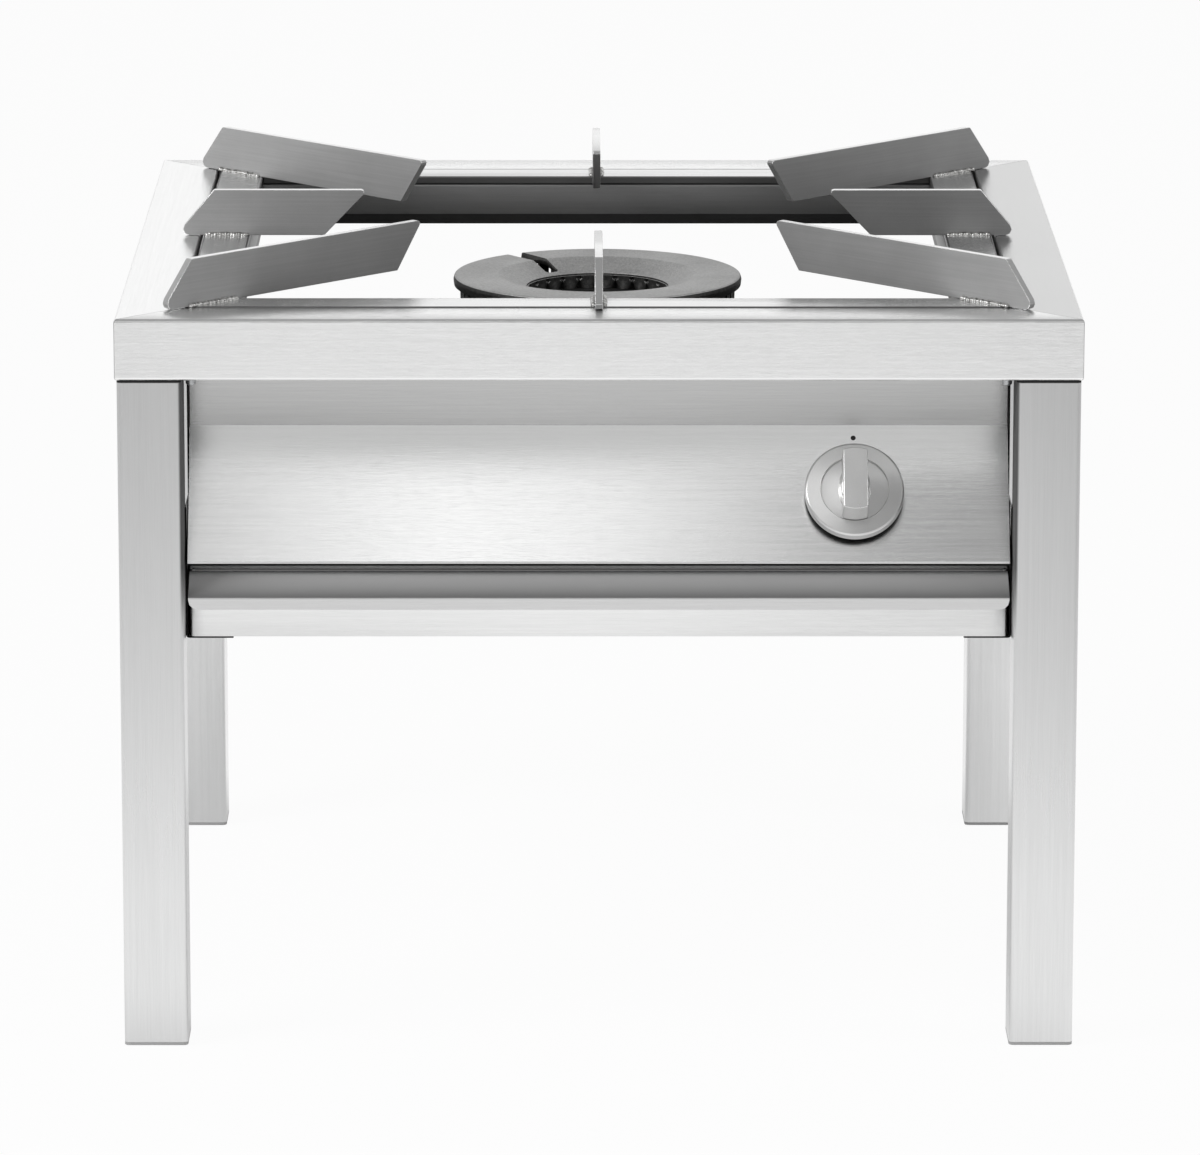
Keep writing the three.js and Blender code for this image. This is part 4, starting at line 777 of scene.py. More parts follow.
@dataclass
class Frame:
    """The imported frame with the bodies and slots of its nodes, and the finishes."""

    loaded: dict
    finishes: Finishes
    pieces: int = 0
    bodies: dict[str, str] = field(default_factory=dict)
    slots: dict[str, str] = field(default_factory=dict)

    def __post_init__(self) -> None:
        """Reads which body and slot each node has."""
        record = self.loaded["record"]
        for body, nodes in record["behaviour"]["bodies"].items():
            self.bodies.update({node: body for node in nodes})
        self.slots = {row["node"]: row["material_slot"] for row in record["subparts"]}

    def make(self, name: str, bm: Work, *finishes: str, crease: float = 35.0) -> Thing:
        """Makes an object at the origin.

        Args:
            name: its name.
            bm: its form, which is freed.
            finishes: its materials.
            crease: the angle, in degrees, above which an edge stays sharp.

        Returns:
            The object.
        """
        return make_object(name, mesh_of(bm, name, crease), *(self.finishes[key] for key in finishes))

    def attach(self, piece: Thing, body: str, slot: str) -> None:
        """Lets a piece ride on a body.

        Args:
            piece: the piece.
            body: the body's name.
            slot: the slot's name; not used.
        """
        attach(piece, body)
        self.pieces += 1
        LOG.info("%s rides on %s", piece.name, body)

    def mount(self, piece: Thing, node: str) -> None:
        """Lets a piece stand for a node, on the node's body, and hides the node."""
        self.attach(piece, self.bodies[node], self.slots[node])
        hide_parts(node)

    def refine(self, nodes: Sequence[str], finish: str, edge: float = 0.25, crease: float = 35.0,
               others: Sequence[Other] = ()) -> None:
        """Stands cleaned copies of nodes' meshes, with smooth folds and soft edges, in their places.

        Args:
            nodes: the nodes' names.
            finish: the copies' material.
            edge: the width of their broken edges, in millimetres.
            crease: the angle, in degrees, above which an edge stays sharp.
            others: materials of some of their faces, of which the first that fits is used.
        """
        for node in nodes:
            bm = bmesh.new()
            bm.from_mesh(self.loaded["nodes"][node].data)
            bmesh.ops.remove_doubles(bm, verts=bm.verts, dist=SAME_PLACE)
            bmesh.ops.dissolve_limit(bm, angle_limit=SAME_PLANE, verts=bm.verts, edges=bm.edges)
            bm.normal_update()
            for face in bm.faces:
                middle = face.calc_center_median() / MM
                fits = [k for k, other in enumerate(others, 1) if other.on(middle, face.normal)]
                face.material_index = fits[0] if fits else 0
            finishes = [finish, *(other.finish for other in others)]
            piece = self.make(f"{node}_finished", bm, *finishes, crease=crease)
            if edge > 0:
                edges = bevel(piece, edge)
                for number, other in enumerate(others, 1):
                    if other.edges:
                        edges.material = number
            self.mount(piece, node)


class Pattern(Tree):
    """A Geometry Nodes tree with named inputs that repeats a shape."""

    def __init__(self, name: str, inputs: Mapping[str, float | int]) -> None:
        """Starts a tree.

        Args:
            name: the tree's name.
            inputs: each input's value, by name.
        """
        self.group = bpy.data.node_groups.new(name, "GeometryNodeTree")
        self.inputs = inputs
        self.keys: dict[str, str] = {}
        face = self.group.interface
        face.new_socket("Geometry", in_out="INPUT", socket_type="NodeSocketGeometry")
        face.new_socket("Geometry", in_out="OUTPUT", socket_type="NodeSocketGeometry")
        for key, value in inputs.items():
            kind = "NodeSocketInt" if isinstance(value, int) else "NodeSocketFloat"
            self.keys[key] = face.new_socket(key, in_out="INPUT", socket_type=kind).identifier
        super().__init__(self.group)
        self.start = self.node("NodeGroupInput").outputs

    def grow(self, target: Thing, geometry: Socket, material: Material) -> None:
        """Ends the tree, runs it on an object and keeps the result as its mesh.

        Args:
            target: the object.
            geometry: the tree's result.
            material: the material of all of it.
        """
        real = self.node("GeometryNodeRealizeInstances", {}, {0: geometry})
        dressed = self.node("GeometryNodeSetMaterial", {}, {
            "Geometry": real.outputs[0], "Material": material})
        self.node("NodeGroupOutput", {}, {0: dressed.outputs[0]})
        made = target.modifiers.new(self.group.name, "NODES")
        made.node_group = self.group
        for key, value in self.inputs.items():
            made[self.keys[key]] = value
        bake_modifiers(target)


# ---- Sub-assemblies ---------------------------------------------------------------------------------
@dataclass
class TopFrame:
    """The four mitred rails and the sheets below them, duller on their inner faces and darker there as
    painted shade.
    """

    frame: Frame
    hollow: float = 270.0  # distance of the rails' folded inside from the range's middle
    hollow_level: float = 443.0  # its height
    sheet_level: float = 350.0  # a height between the sheets' edges
    sheet_front: float = -200.0  # place in front of which the side sheets end
    # the hems below the rails' inner edges are dark strips of painted shade
    hem_place: float = 228.0  # distance of the hems' inner faces from the middle
    hem_thick: float = 2.0
    hem_low: float = 433.4
    hem_high: float = 440.1

    def _inside(self, middle: Vector, normal: Vector) -> bool:
        """Whether a rail's face looks into its fold or towards the range's middle.

        Args:
            middle: the face's middle.
            normal: its normal.

        Returns:
            Whether it does.
        """
        lies_flat = abs(normal.z) > HALFWAY
        along_y = abs(middle.y) > abs(middle.x) if lies_flat else abs(normal.y) > abs(normal.x)
        place, outward = (middle.y, normal.y) if along_y else (middle.x, normal.x)
        hollow = math.copysign(self.hollow, place)
        to_hollow = (hollow - place) * outward + (self.hollow_level - middle.z) * normal.z
        return to_hollow > 0 or outward * math.copysign(1.0, place) < -MOSTLY

    def _hems(self) -> None:
        """Adds the rolled hem below each rail's inner edge, dark as painted shade for the rail's hollow
        behind it.
        """
        bm = bmesh.new()
        inner, outer = self.hem_place, self.hem_place + self.hem_thick
        for number in range(4):
            start = len(bm.verts)
            prism(bm, [(-inner, inner), (inner, inner), (outer, outer), (-outer, outer)],
                  self.hem_low, self.hem_high)
            move(bm, Matrix.Rotation(number * math.pi / 2, 4, "Z"), start)
        self.frame.attach(self.frame.make("frame_hems_painted_shade", bm, "shade_across"), "range", "brushed_steel")

    def build(self) -> None:
        """Dresses the rails and the sheets."""
        refine = self.frame.refine
        across, deep = (Other(finish, self._inside) for finish in ("mill_and_shade_across", "mill_and_shade_deep"))
        # the right rail's top is painted darker: painted shade
        top = Other("brushed_painted_shade", lambda _, normal: normal.z > FLAT)
        refine(named("frame_rail", "front", "rear"), "brushed_across", 0.2, others=[across])
        refine(["frame_rail_left"], "brushed_deep", 0.2, others=[deep])
        refine(["frame_rail_right"], "brushed_deep", 0.2, others=[deep, top])
        # the side sheets' front edges are black as painted shade
        front = Other("painted_gap_shade", lambda middle, normal: (
            middle.y < self.sheet_front and normal.y < -FLAT))
        inner = Other("mill_and_shade_deep", facing(lambda p: (0.0, p.y, self.sheet_level)))
        refine(named("side_sheet", "left", "right"), "brushed_deep", 0.2, others=[front, inner])
        inner = Other("mill_and_shade_across", facing(lambda p: (p.x, 0.0, self.sheet_level)))
        refine(["rear_sheet"], "brushed_across", 0.2, others=[inner])
        refine(named("cross_rail", "front", "rear"), "mill_and_shade_across", 0.3)
        self._hems()


@dataclass
class Stand:
    """The four legs and their foot plugs."""

    frame: Frame
    side: float = 40.0
    wall: float = 1.5
    corner: float = 3.0
    steps: int = 8

    def _outline(self, inset: float) -> list[Flat]:
        """The outline of the tube's outside, or of its inside with the wall as inset."""
        half = self.side / 2 - inset
        spots = ((-half, -half), (half, -half), (half, half), (-half, half))
        return rounded_section([(x, y, self.corner - inset) for x, y in spots], self.steps)

    def _tube(self, node: str) -> None:
        """Makes one leg with open ends, from its node's box."""
        low, high = (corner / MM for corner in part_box(node))
        centre = (low + high) / 2
        bm = bmesh.new()
        rings = []
        for inset, height in ((0.0, low.z), (0.0, high.z), (self.wall, high.z), (self.wall, low.z)):
            rings.append([bm.verts.new(Vector((centre.x + x, centre.y + y, height)) * MM)
                          for x, y in self._outline(inset)])
        for first, second in zip(rings, [*rings[1:], rings[0]]):
            join_rings(bm, first, second)
        self.frame.mount(self.frame.make(f"{node}_tube", bm, "brushed_leg"), node)

    def build(self) -> None:
        """Makes the legs and dresses the plugs."""
        for corner in CORNERS:
            self._tube(f"leg_{corner}")
            self.frame.refine([f"foot_plug_{corner}"], "foot_plastic", 0.35)


@dataclass
class Grate:
    """The loose grate: four flat bars, eight fins and their welds."""

    frame: Frame
    bar_top: float = 466.0  # height of the bars' top
    bar_middle: float = 243.0  # distance of a bar's middle line from the range's middle
    bar_width: float = 30.0
    fin_thick: float = 5.0
    fin_rough: float = 0.46  # roughness of a fin's sides
    fin_mirror: float = 0.18  # how far they mirror as bare metal does
    bead: float = 2.0  # radius of a weld bead
    bead_out: float = 0.35  # how far its middle lies out of the fin's side, as a share of its radius
    bead_up: float = 0.2  # how far its middle lies above the bar, as such a share
    bead_end: float = 2.5  # how far the beads end before the bar's edge
    pitch: float = 1.7  # distance between a bead's ripples
    seed: int = 4
    # The direction of each fin's rolling marks, in degrees, and its tone, set fin by fin as painted light
    # and shade.
    fins: tuple[tuple[str, int, float], ...] = (
        ("front", 90, 0.36), ("right", 0, 0.26), ("rear", 90, 0.36), ("left", 0, 0.43),
        ("front_left", 45, 0.4), ("front_right", 135, 0.42),
        ("rear_left", 135, 0.46), ("rear_right", 45, 0.35))

    def _fins(self) -> None:
        """Dresses the fins, each with its marks along itself and its own tone of painted light and shade.
        """
        edge = Other("fin_edge", lambda _, normal: normal.z > MOSTLY, True)
        for side, degrees, tone in self.fins:
            finish = PlateSteel(f"fin_painted_light_{side}", grey(tone), self.fin_rough,
                                turn=math.radians(degrees), metallic=self.fin_mirror)
            self.frame.finishes.add(finish)
            self.frame.refine([f"fin_{side}"], finish.name, others=[edge])

    def _feet(self) -> Mesh:
        """The lines of both beads at each fin's foot, where it stands on its bar."""
        bm = bmesh.new()
        level = Vector((0, 0, self.bar_top + self.bead * self.bead_up))
        for number in range(8):
            angle = number * math.pi / 4
            stretch = math.sqrt(2) if number % 2 else 1.0
            along = Vector((math.cos(angle), math.sin(angle), 0))
            aside = self.fin_thick / 2 + self.bead * self.bead_out
            across = Vector((-along.y, along.x, 0)) * aside
            middle, reach = self.bar_middle * stretch, self.bar_width / 2 * stretch - self.bead_end
            for offset in (-across, across):
                bm.edges.new([bm.verts.new((along * place + offset + level) * MM)
                              for place in (middle - reach, middle + reach)])
        return plain_mesh(bm, "weld_lines")

    def _welds(self) -> None:
        """Lays the beads as rows of drops."""
        weld = self.frame.finishes["weld_metal"]
        beads = make_object("grate_welds", self._feet(), weld)
        pattern = Pattern("bead_rows", {
            "Pitch": self.pitch * MM, "Radius": self.bead * MM, "Seed": self.seed})
        line = pattern.node("GeometryNodeMeshToCurve", {}, {0: pattern.start[0]})
        spaced = pattern.node("GeometryNodeResampleCurve", {"mode": "LENGTH"}, {
            "Curve": line.outputs[0], "Length": pattern.start["Pitch"]})
        drop = pattern.node("GeometryNodeMeshIcoSphere", {}, {
            "Radius": pattern.start["Radius"], "Subdivisions": 2})
        size = pattern.node("FunctionNodeRandomValue", {"data_type": "FLOAT_VECTOR"}, {
            0: (0.85, 0.85, 0.75), 1: (1.15, 1.15, 1.05), "Seed": pattern.start["Seed"]})
        rows = pattern.node("GeometryNodeInstanceOnPoints", {}, {
            "Points": spaced.outputs[0], "Instance": drop.outputs[0], "Scale": size.outputs[0]})
        smooth = pattern.node("GeometryNodeSetShadeSmooth", {}, {0: rows.outputs[0]})
        pattern.grow(beads, smooth.outputs[0], weld)
        self.frame.attach(beads, "grate", "grate_steel")

    def build(self) -> None:
        """Dresses the bars and fins and lays the welds."""
        # the bars' sides and lower faces are darkened as painted shade of the gap round them
        edge = Other("bar_edge_painted_shade", lambda _, normal: normal.z < HALFWAY, True)
        for finish, ends in (("bar_steel", ("front", "rear")), ("bar_steel_deep", ("left", "right"))):
            self.frame.refine(named("grate_bar", *ends), finish, 0.9, others=[edge])
        self._fins()
        self._welds()


@dataclass
class Slant:
    """The control panel's slanted frame: X right, Y up the slant, Z out of the panel."""

    origin: Point = (160.0, -255.143, 344.744)
    lean: float = 33.0

    def matrix(self) -> Matrix:
        """The turn and shift from the slanted frame to the range's, in metres."""
        turn = Matrix.Rotation(math.pi / 2 - math.radians(self.lean), 4, "X")
        return Matrix.Translation(Vector(self.origin) * MM) @ turn


@dataclass
class ControlPanel:
    """The folded control panel, its screws and the mark above the knob."""

    frame: Frame
    slant: Slant
    mark: float = 1.6  # radius of the printed mark
    mark_up: float = 39.2  # its distance from the knob's axis, up the slant
    mark_thick: float = 0.05
    fold: float = 385.0  # height of the fold between the slant and the upright strip
    hem: float = 307.0  # height of the hem's fold at the bottom
    flange: float = 425.0  # height of the flange at the top
    upright: float = 0.8  # the least part of the strip's normals along Y, its folds included
    behind: Flat = (-180.0, 370.0)  # place and height of a point in the panel's hollow

    def _mark(self) -> None:
        """Prints the round mark above the knob."""
        bm = bmesh.new()
        radius, thick = self.mark, self.mark_thick
        turned(bm, [(0.0, 0.0), (radius, 0.0), (radius, thick), (0.0, thick)], 32)
        move(bm, self.slant.matrix() @ Matrix.Translation((0, self.mark_up * MM, 0)))
        self.frame.attach(self.frame.make("knob_mark", bm, "black_ink"), "range", "plug_plastic")

    def build(self) -> None:
        """Dresses the panel and its screws and prints the mark."""
        rear = facing(lambda p: (p.x, *self.behind))
        self.frame.refine(["control_panel"], "brushed_panel", 0.2, others=[
            # the panel's sides and the underside of its hem are black as painted shade
            Other("painted_gap_shade", lambda middle, normal: (
                abs(normal.x) > FLAT or normal.z < -SLANTED and middle.z < self.hem)),
            Other("brushed_flange", lambda middle, normal: middle.z > self.flange and normal.z < -FLAT),
            # the panel's inner faces: mill finish, darker as painted shade
            Other("mill_and_shade_across", lambda middle, normal: middle.z < self.flange and rear(middle, normal)),
            # the upright strip gets darker steel as painted shade under the rail
            Other("brushed_strip_painted_shade", lambda middle, normal: (
                middle.z > self.fold and normal.y < -self.upright))])
        self.frame.refine(named("panel_screw", "left", "right"), "zinc_plate", 0.3)
        self._mark()


@dataclass
class DripTray:
    """The drip tray with its pull lip."""

    frame: Frame
    rim_front: float = -266.0  # the front rim's place, behind which the tray is open
    rim_level: float = 301.0  # height above which the front rim lies
    hem_level: float = 300.0  # height above which the rim's front lies
    wall: float = -271.9  # place of the front wall's face
    lip: float = 288.0  # height above which the lip slants
    foremost: float = -295.5  # place in front of which only its folded edge lies
    middle: Point = (0.0, 0.0, 320.0)  # a point in the tray's hollow

    def build(self) -> None:
        """Dresses the tray."""
        self.frame.refine(["drip_tray"], "brushed_tray", 0.15, others=[
            # the top of the front rim, under the panel, is black as painted shade
            Other("painted_gap_shade", lambda middle, normal: (
                middle.y < self.rim_front and middle.z > self.rim_level and normal.z > FLAT)),
            # the rim's front under the panel: mill finish, darker as painted shade
            Other("mill_and_shade_across", lambda middle, normal: (
                middle.y < self.wall and middle.z > self.hem_level and normal.y < -FLAT)),
            # the lip's slanted faces: painted shade, with painted light towards the root
            Other("lip_painted_shade_and_light", lambda middle, normal: (
                middle.y < self.wall and middle.z > self.lip and normal.z > SLANTED)),
            Other("brushed_nose", lambda middle, normal: (
                middle.y < self.foremost and normal.y < -FLAT)),
            Other("brushed_tray_inside", facing(lambda _: self.middle))])


@dataclass
class Knob:
    """The knob: skirt with a flat ring, dish, swollen middle and bar grip, in the slanted frame."""

    frame: Frame
    slant: Slant
    gap: float = 4.5  # air under the skirt
    radius: float = 31.0
    skirt: float = 8.0  # the skirt's height
    edge: float = 0.9  # the bright chamfer round the ring
    cone: float = 0.9  # how far the ring rises towards the middle
    dish_radius: float = 21.2  # radius of the round middle
    dish: float = 3.2  # how far the hollow's roof lies below the ring, less one wall
    step: float = 1.5  # how far the middle's edge lies below the ring
    dome: float = 1.9  # how far the middle rises
    wall: float = 1.8  # thickness of the skirt's wall
    sunk: float = 1.2  # how far the grip's foot lies above the hollow's roof
    grip_width: float = 16.0
    grip_height: float = 20.0  # its height above the ring
    grip_top: Flat = (0.955, 0.97)  # shares of its width and length left at the top
    cheek: float = 12.0  # half width of the swelling on both sides of the grip
    cheek_height: float = 5.5  # its height above the ring
    cheek_top: Flat = (0.70, 0.97)  # shares of its width and length left at the top
    sides: int = 128

    def _skirt(self, bm: Work) -> None:
        """Adds the skirt, the ring and the dish as one turned shell with a hollow below."""
        ring = self.gap + self.skirt
        floor = ring - self.dish - self.wall
        inner = self.radius - self.wall
        rim = self.radius - self.edge
        crest = ring + self.cone
        lip = self.dish_radius
        profile = [(0.0, floor), (inner, floor), (inner, self.gap), (rim, self.gap),
                   (self.radius, self.gap + self.edge), (self.radius, ring - self.edge),
                   (rim, ring - 0.1), (rim - 0.5, ring),
                   (lip + 0.4, crest), (lip, crest - 0.2), (lip - 0.2, crest - self.step)]
        steps = 12
        for k in range(1, steps + 1):
            share = 1.0 - k / steps
            rise = self.dome * (1.0 - share ** 2)
            profile.append(((lip - 0.2) * share, crest - self.step + rise))
        turned(bm, profile, self.sides)
        bm.normal_update()
        for face in bm.faces:
            under = face.calc_center_median().z < (self.gap + 0.1) * MM
            face.material_index = int(under or face.normal.z < -HALFWAY)

    def _grip_outline(self) -> list[Flat]:
        """The grip seen from the front: a bar whose ends follow the dish."""
        reach = math.asin(self.grip_width / 2 / self.dish_radius)
        steps = 10
        return [around(self.dish_radius, side * math.pi / 2 + reach * (2 * k / steps - 1))
                for side in (1, -1) for k in range(steps + 1)]

    def _cheek_outline(self) -> list[Flat]:
        """The swelling beside the grip: a lens."""
        half_length = self.dish_radius - self.edge
        radius = (half_length ** 2 + self.cheek ** 2) / (2 * self.cheek)
        reach = math.asin(half_length / radius)
        steps = 24
        arc = [around(radius, reach * (2 * k / steps - 1)) for k in range(steps)]
        return [(side * (x - radius + self.cheek), side * y) for side in (1, -1) for x, y in arc]

    def _part(self, outline: Sequence[Flat], height: float, top: Flat, edge: float) -> Thing:
        """Makes a tapered bar with rounded edges that stands in the dish.

        Args:
            outline: its foot.
            height: its height above the ring.
            top: shares of its width and length left at the top.
            edge: radius of its upper edges.

        Returns:
            The bar as an object that isn't part of the range yet.
        """
        ring = self.gap + self.skirt
        bm = bmesh.new()
        prism(bm, outline, ring - self.dish - self.wall + self.sunk, ring + height, *top)
        part = self.frame.make("grip_blank", bm, "satin_silver", crease=30.0)
        bevel(part, edge, 4, 50.0)
        bake_modifiers(part)
        return part

    def build(self) -> None:
        """Builds the knob, joins its parts and turns it onto the slant."""
        bm = bmesh.new()
        self._skirt(bm)
        for part in (self._part(self._grip_outline(), self.grip_height, self.grip_top, 0.7),
                     self._part(self._cheek_outline(), self.cheek_height, self.cheek_top, 0.8)):
            bm.from_mesh(part.data)
            bpy.data.objects.remove(part)
        move(bm, self.slant.matrix())
        knob = self.frame.make("knob_turned", bm, "satin_silver", "black_plastic", crease=30.0)
        flat = knob.modifiers.new("flat", "WEIGHTED_NORMAL")
        flat.keep_sharp = True
        bake_modifiers(knob)
        self.frame.mount(knob, "knob")
        self.frame.refine(["valve_spindle"], "zinc_plate", 0.2)


@dataclass
class Burner:
    """The cast burner: dished cap with its slot, flame ports, body and mixing tube."""

    frame: Frame
    top: float = 440.0  # height of the cap's top
    rim: float = 7.0  # thickness of the cap at its rim
    radius: float = 94.5
    flat: float = 65.0  # inner radius of its flat ring
    eye: float = 46.0  # radius of its opening
    dish: float = 8.0  # how far the dish falls
    wall: float = 4.5  # thickness of the cap below the dish
    skirt: float = 7.5  # depth of the toothed skirt
    skirt_radius: float = 90.0  # its outer radius
    inner_skirt: float = 10.0  # depth of the pierced skirt round the opening
    skirt_wall: float = 4.0  # thickness of both skirts
    slot_width: float = 10.0  # width of the slot at the opening
    slot_flare: float = 1.2  # how far each of its sides goes out towards the rim
    slot_corner: float = 2.0  # radius of its inner corners
    slot_clear: float = 3.15  # room between it and the middle of a tooth
    past: float = 6.0  # how far what cuts the slot reaches past the cap
    slot_angle: float = 126.0  # the slot's direction, in degrees from +X
    bridge: float = 4.0  # metal left between slot and opening
    outer_ports: int = 60  # number of the outer flame ports
    port_width: float = 2.6  # width of each
    inner_ports: int = 24  # number of the inner ones, each a hole above a gap between two petals
    collar_top: float = 0.8  # how far below the opening's edge the inner skirt is still round
    hole: float = 1.7  # radius of such a hole
    hole_below: float = 2.9  # how far its middle lies below the opening's edge
    hole_edge: float = 0.6  # width of its slanted edge
    hole_depth: float = 2.4  # its depth
    petal_top: float = 4.5  # how far below the opening's edge the petals begin
    petal_swell: float = 1.1  # how far they swell inwards
    petal_gap: float = 2.8  # half width of the gaps between them, at their foot
    petal_depth: float = 2.6  # depth of the gaps
    sides: int = 576
    bright: float = 0.45  # the least upward part of the normal of a cap face that gets the light iron; the others get the dark iron as painted shade

    def _collar(self, angle: float, radius: float, height: float) -> Point:
        """Bends the inner skirt into petals with a port above each gap.

        Args:
            angle: the point's direction.
            radius: its radius.
            height: its height.

        Returns:
            The point's place.
        """
        eye_top = self.top - self.dish
        bottom = eye_top - self.inner_skirt
        pitch = 2 * math.pi / self.inner_ports
        phase = (angle / pitch) % 1.0
        if radius < self.eye + 1.0 and height < eye_top - self.collar_top:
            aside = (phase if phase < 0.5 else phase - 1.0) * pitch * self.eye
            from_port = math.hypot(aside, height - (eye_top - self.hole_below))
            radius += self.hole_depth * max(0.0, min(1.0, (self.hole - from_port) / self.hole_edge))
            low = max(0.0, 1.0 - (height - bottom) / (self.inner_skirt - self.petal_top))
            radius -= self.petal_swell * math.cos((phase - 0.5) * 2 * math.pi) * low
            gap = max(0.0, 1.0 - abs(aside) / (self.petal_gap * low + 0.01)) if low > 0 else 0.0
            radius += self.petal_depth * gap
        return *around(radius, angle), height

    def _cap_section(self) -> list[Flat]:
        """The cap's section, anticlockwise as (radius, height)."""
        top, eye_top = self.top, self.top - self.dish
        rim_bottom = top - self.rim
        under = top - self.wall
        skirt_in = self.skirt_radius - self.skirt_wall
        collar = self.eye + self.skirt_wall
        section = rounded_section([
            (collar, eye_top - self.inner_skirt, 0.6), (collar, eye_top - 2.2, 1.0),
            (self.flat, under, 2.0), (skirt_in, under, 1.0),
            (skirt_in, rim_bottom, 0.0), (self.radius - 0.5, rim_bottom, 0.8),
            (self.radius, top - 3.0, 2.0), (self.radius - 0.8, top, 1.6),
            (self.flat, top, 4.0), (self.eye, eye_top, 1.2)], 5)
        steps, smooth = 22, 0.9
        return section + [(self.eye, eye_top - smooth - (self.inner_skirt - smooth) * k / steps)
                          for k in range(1, steps + 1)]

    def _cap(self) -> None:
        """Makes the cap and cuts its slot."""
        bm = bmesh.new()
        turned(bm, self._cap_section(), self.sides, self._collar)
        bm.normal_update()
        # faces that look up get the light iron and the others the dark iron: painted shade below and
        # inside
        for face in bm.faces:
            face.material_index = int(face.normal.z < self.bright)
        cap = self.frame.make("burner_cap_cast", bm, "cast_iron_cap", "cast_iron_body_and_shade", crease=38.0)
        cutter = self._slot_cutter()
        slot = cap.modifiers.new("slot", "BOOLEAN")
        slot.operation = "DIFFERENCE"
        slot.solver = "EXACT"
        slot.object = cutter
        bake_modifiers(cap)
        bpy.data.objects.remove(cutter)
        self.frame.mount(cap, "burner_cap")

    def _slot_cutter(self) -> Thing:
        """The round-ended block that cuts the slot."""
        inner, outer = self.eye + self.bridge, self.radius + self.past
        near, far = self.slot_width / 2, self.slot_width / 2 + self.slot_flare
        bm = bmesh.new()
        prism(bm, rounded_section([
            (inner, -near, self.slot_corner), (outer, -far, 0.0), (outer, far, 0.0),
            (inner, near, self.slot_corner)], 6), self.top - self.past * 5, self.top + self.past)
        move(bm, Matrix.Rotation(math.radians(self.slot_angle), 4, "Z"))
        # the slot's walls get the dark iron as painted shade
        for face in bm.faces:
            face.material_index = 1
        return self.frame.make("slot_cutter", bm, "cast_iron_cap", "cast_iron_body_and_shade")

    def _tooth_places(self) -> Mesh:
        """A point for each tooth, on the skirt's middle line, with room for the slot."""
        bm = bmesh.new()
        middle = self.skirt_radius - self.skirt_wall / 2
        clear = (self.slot_width / 2 + self.slot_clear) / self.skirt_radius
        for number in range(self.outer_ports):
            angle = 2 * math.pi * number / self.outer_ports
            from_slot = (angle - math.radians(self.slot_angle) + math.pi) % (2 * math.pi) - math.pi
            if abs(from_slot) >= clear:
                bm.verts.new(Vector((*around(middle, angle), self.top - self.rim)) * MM)
        return plain_mesh(bm, "tooth_places")

    def _teeth(self) -> None:
        """Sets the teeth between the outer flame ports with Geometry Nodes."""
        # the teeth get the dark iron, partly as painted shade
        iron = self.frame.finishes["cast_iron_body_and_shade"]
        teeth = make_object("burner_cap_teeth", self._tooth_places(), iron)
        width = 2 * math.pi * self.skirt_radius / self.outer_ports - self.port_width
        pattern = Pattern("tooth_ring", {
            "Wall": self.skirt_wall * MM, "Width": width * MM, "Depth": self.skirt * MM})
        size = pattern.node("ShaderNodeCombineXYZ", {}, {
            number: pattern.start[key] for number, key in enumerate(("Wall", "Width", "Depth"))})
        tooth = pattern.node("GeometryNodeMeshCube", {}, {
            "Size": size.outputs[0], "Vertices X": 2, "Vertices Y": 3, "Vertices Z": 3})
        place = pattern.node("GeometryNodeInputPosition")
        outward = pattern.node("FunctionNodeAlignRotationToVector", {"axis": "X", "pivot_axis": "Z"}, {
            "Vector": place.outputs[0]})
        drop = pattern.node("ShaderNodeCombineXYZ", {}, {
            2: Value(pattern, pattern.start["Depth"]) * -0.5})
        lowered = pattern.node("GeometryNodeTransform", {}, {
            "Geometry": tooth.outputs[0], "Translation": drop.outputs[0]})
        ring = pattern.node("GeometryNodeInstanceOnPoints", {}, {
            "Points": pattern.start[0], "Instance": lowered.outputs[0],
            "Rotation": outward.outputs[0]})
        pattern.grow(teeth, ring.outputs[0], iron)
        bevel(teeth, 0.5)
        self.frame.attach(teeth, "cap", "dark_iron")

    def build(self) -> None:
        """Builds the cap and dresses the body and its bolts."""
        self._cap()
        self._teeth()
        self.frame.refine(["burner_body"], "cast_iron_body_and_shade", 0.0, 40.0)
        self.frame.refine(named("burner_bolt", *CORNERS), "zinc_plate", 0.4)


@dataclass(frozen=True)
class Pipe:
    """A bent pipe that stands for a node."""

    node: str
    finish: str
    bend_radius: float
    radius: float
    corners: tuple[Point, ...]


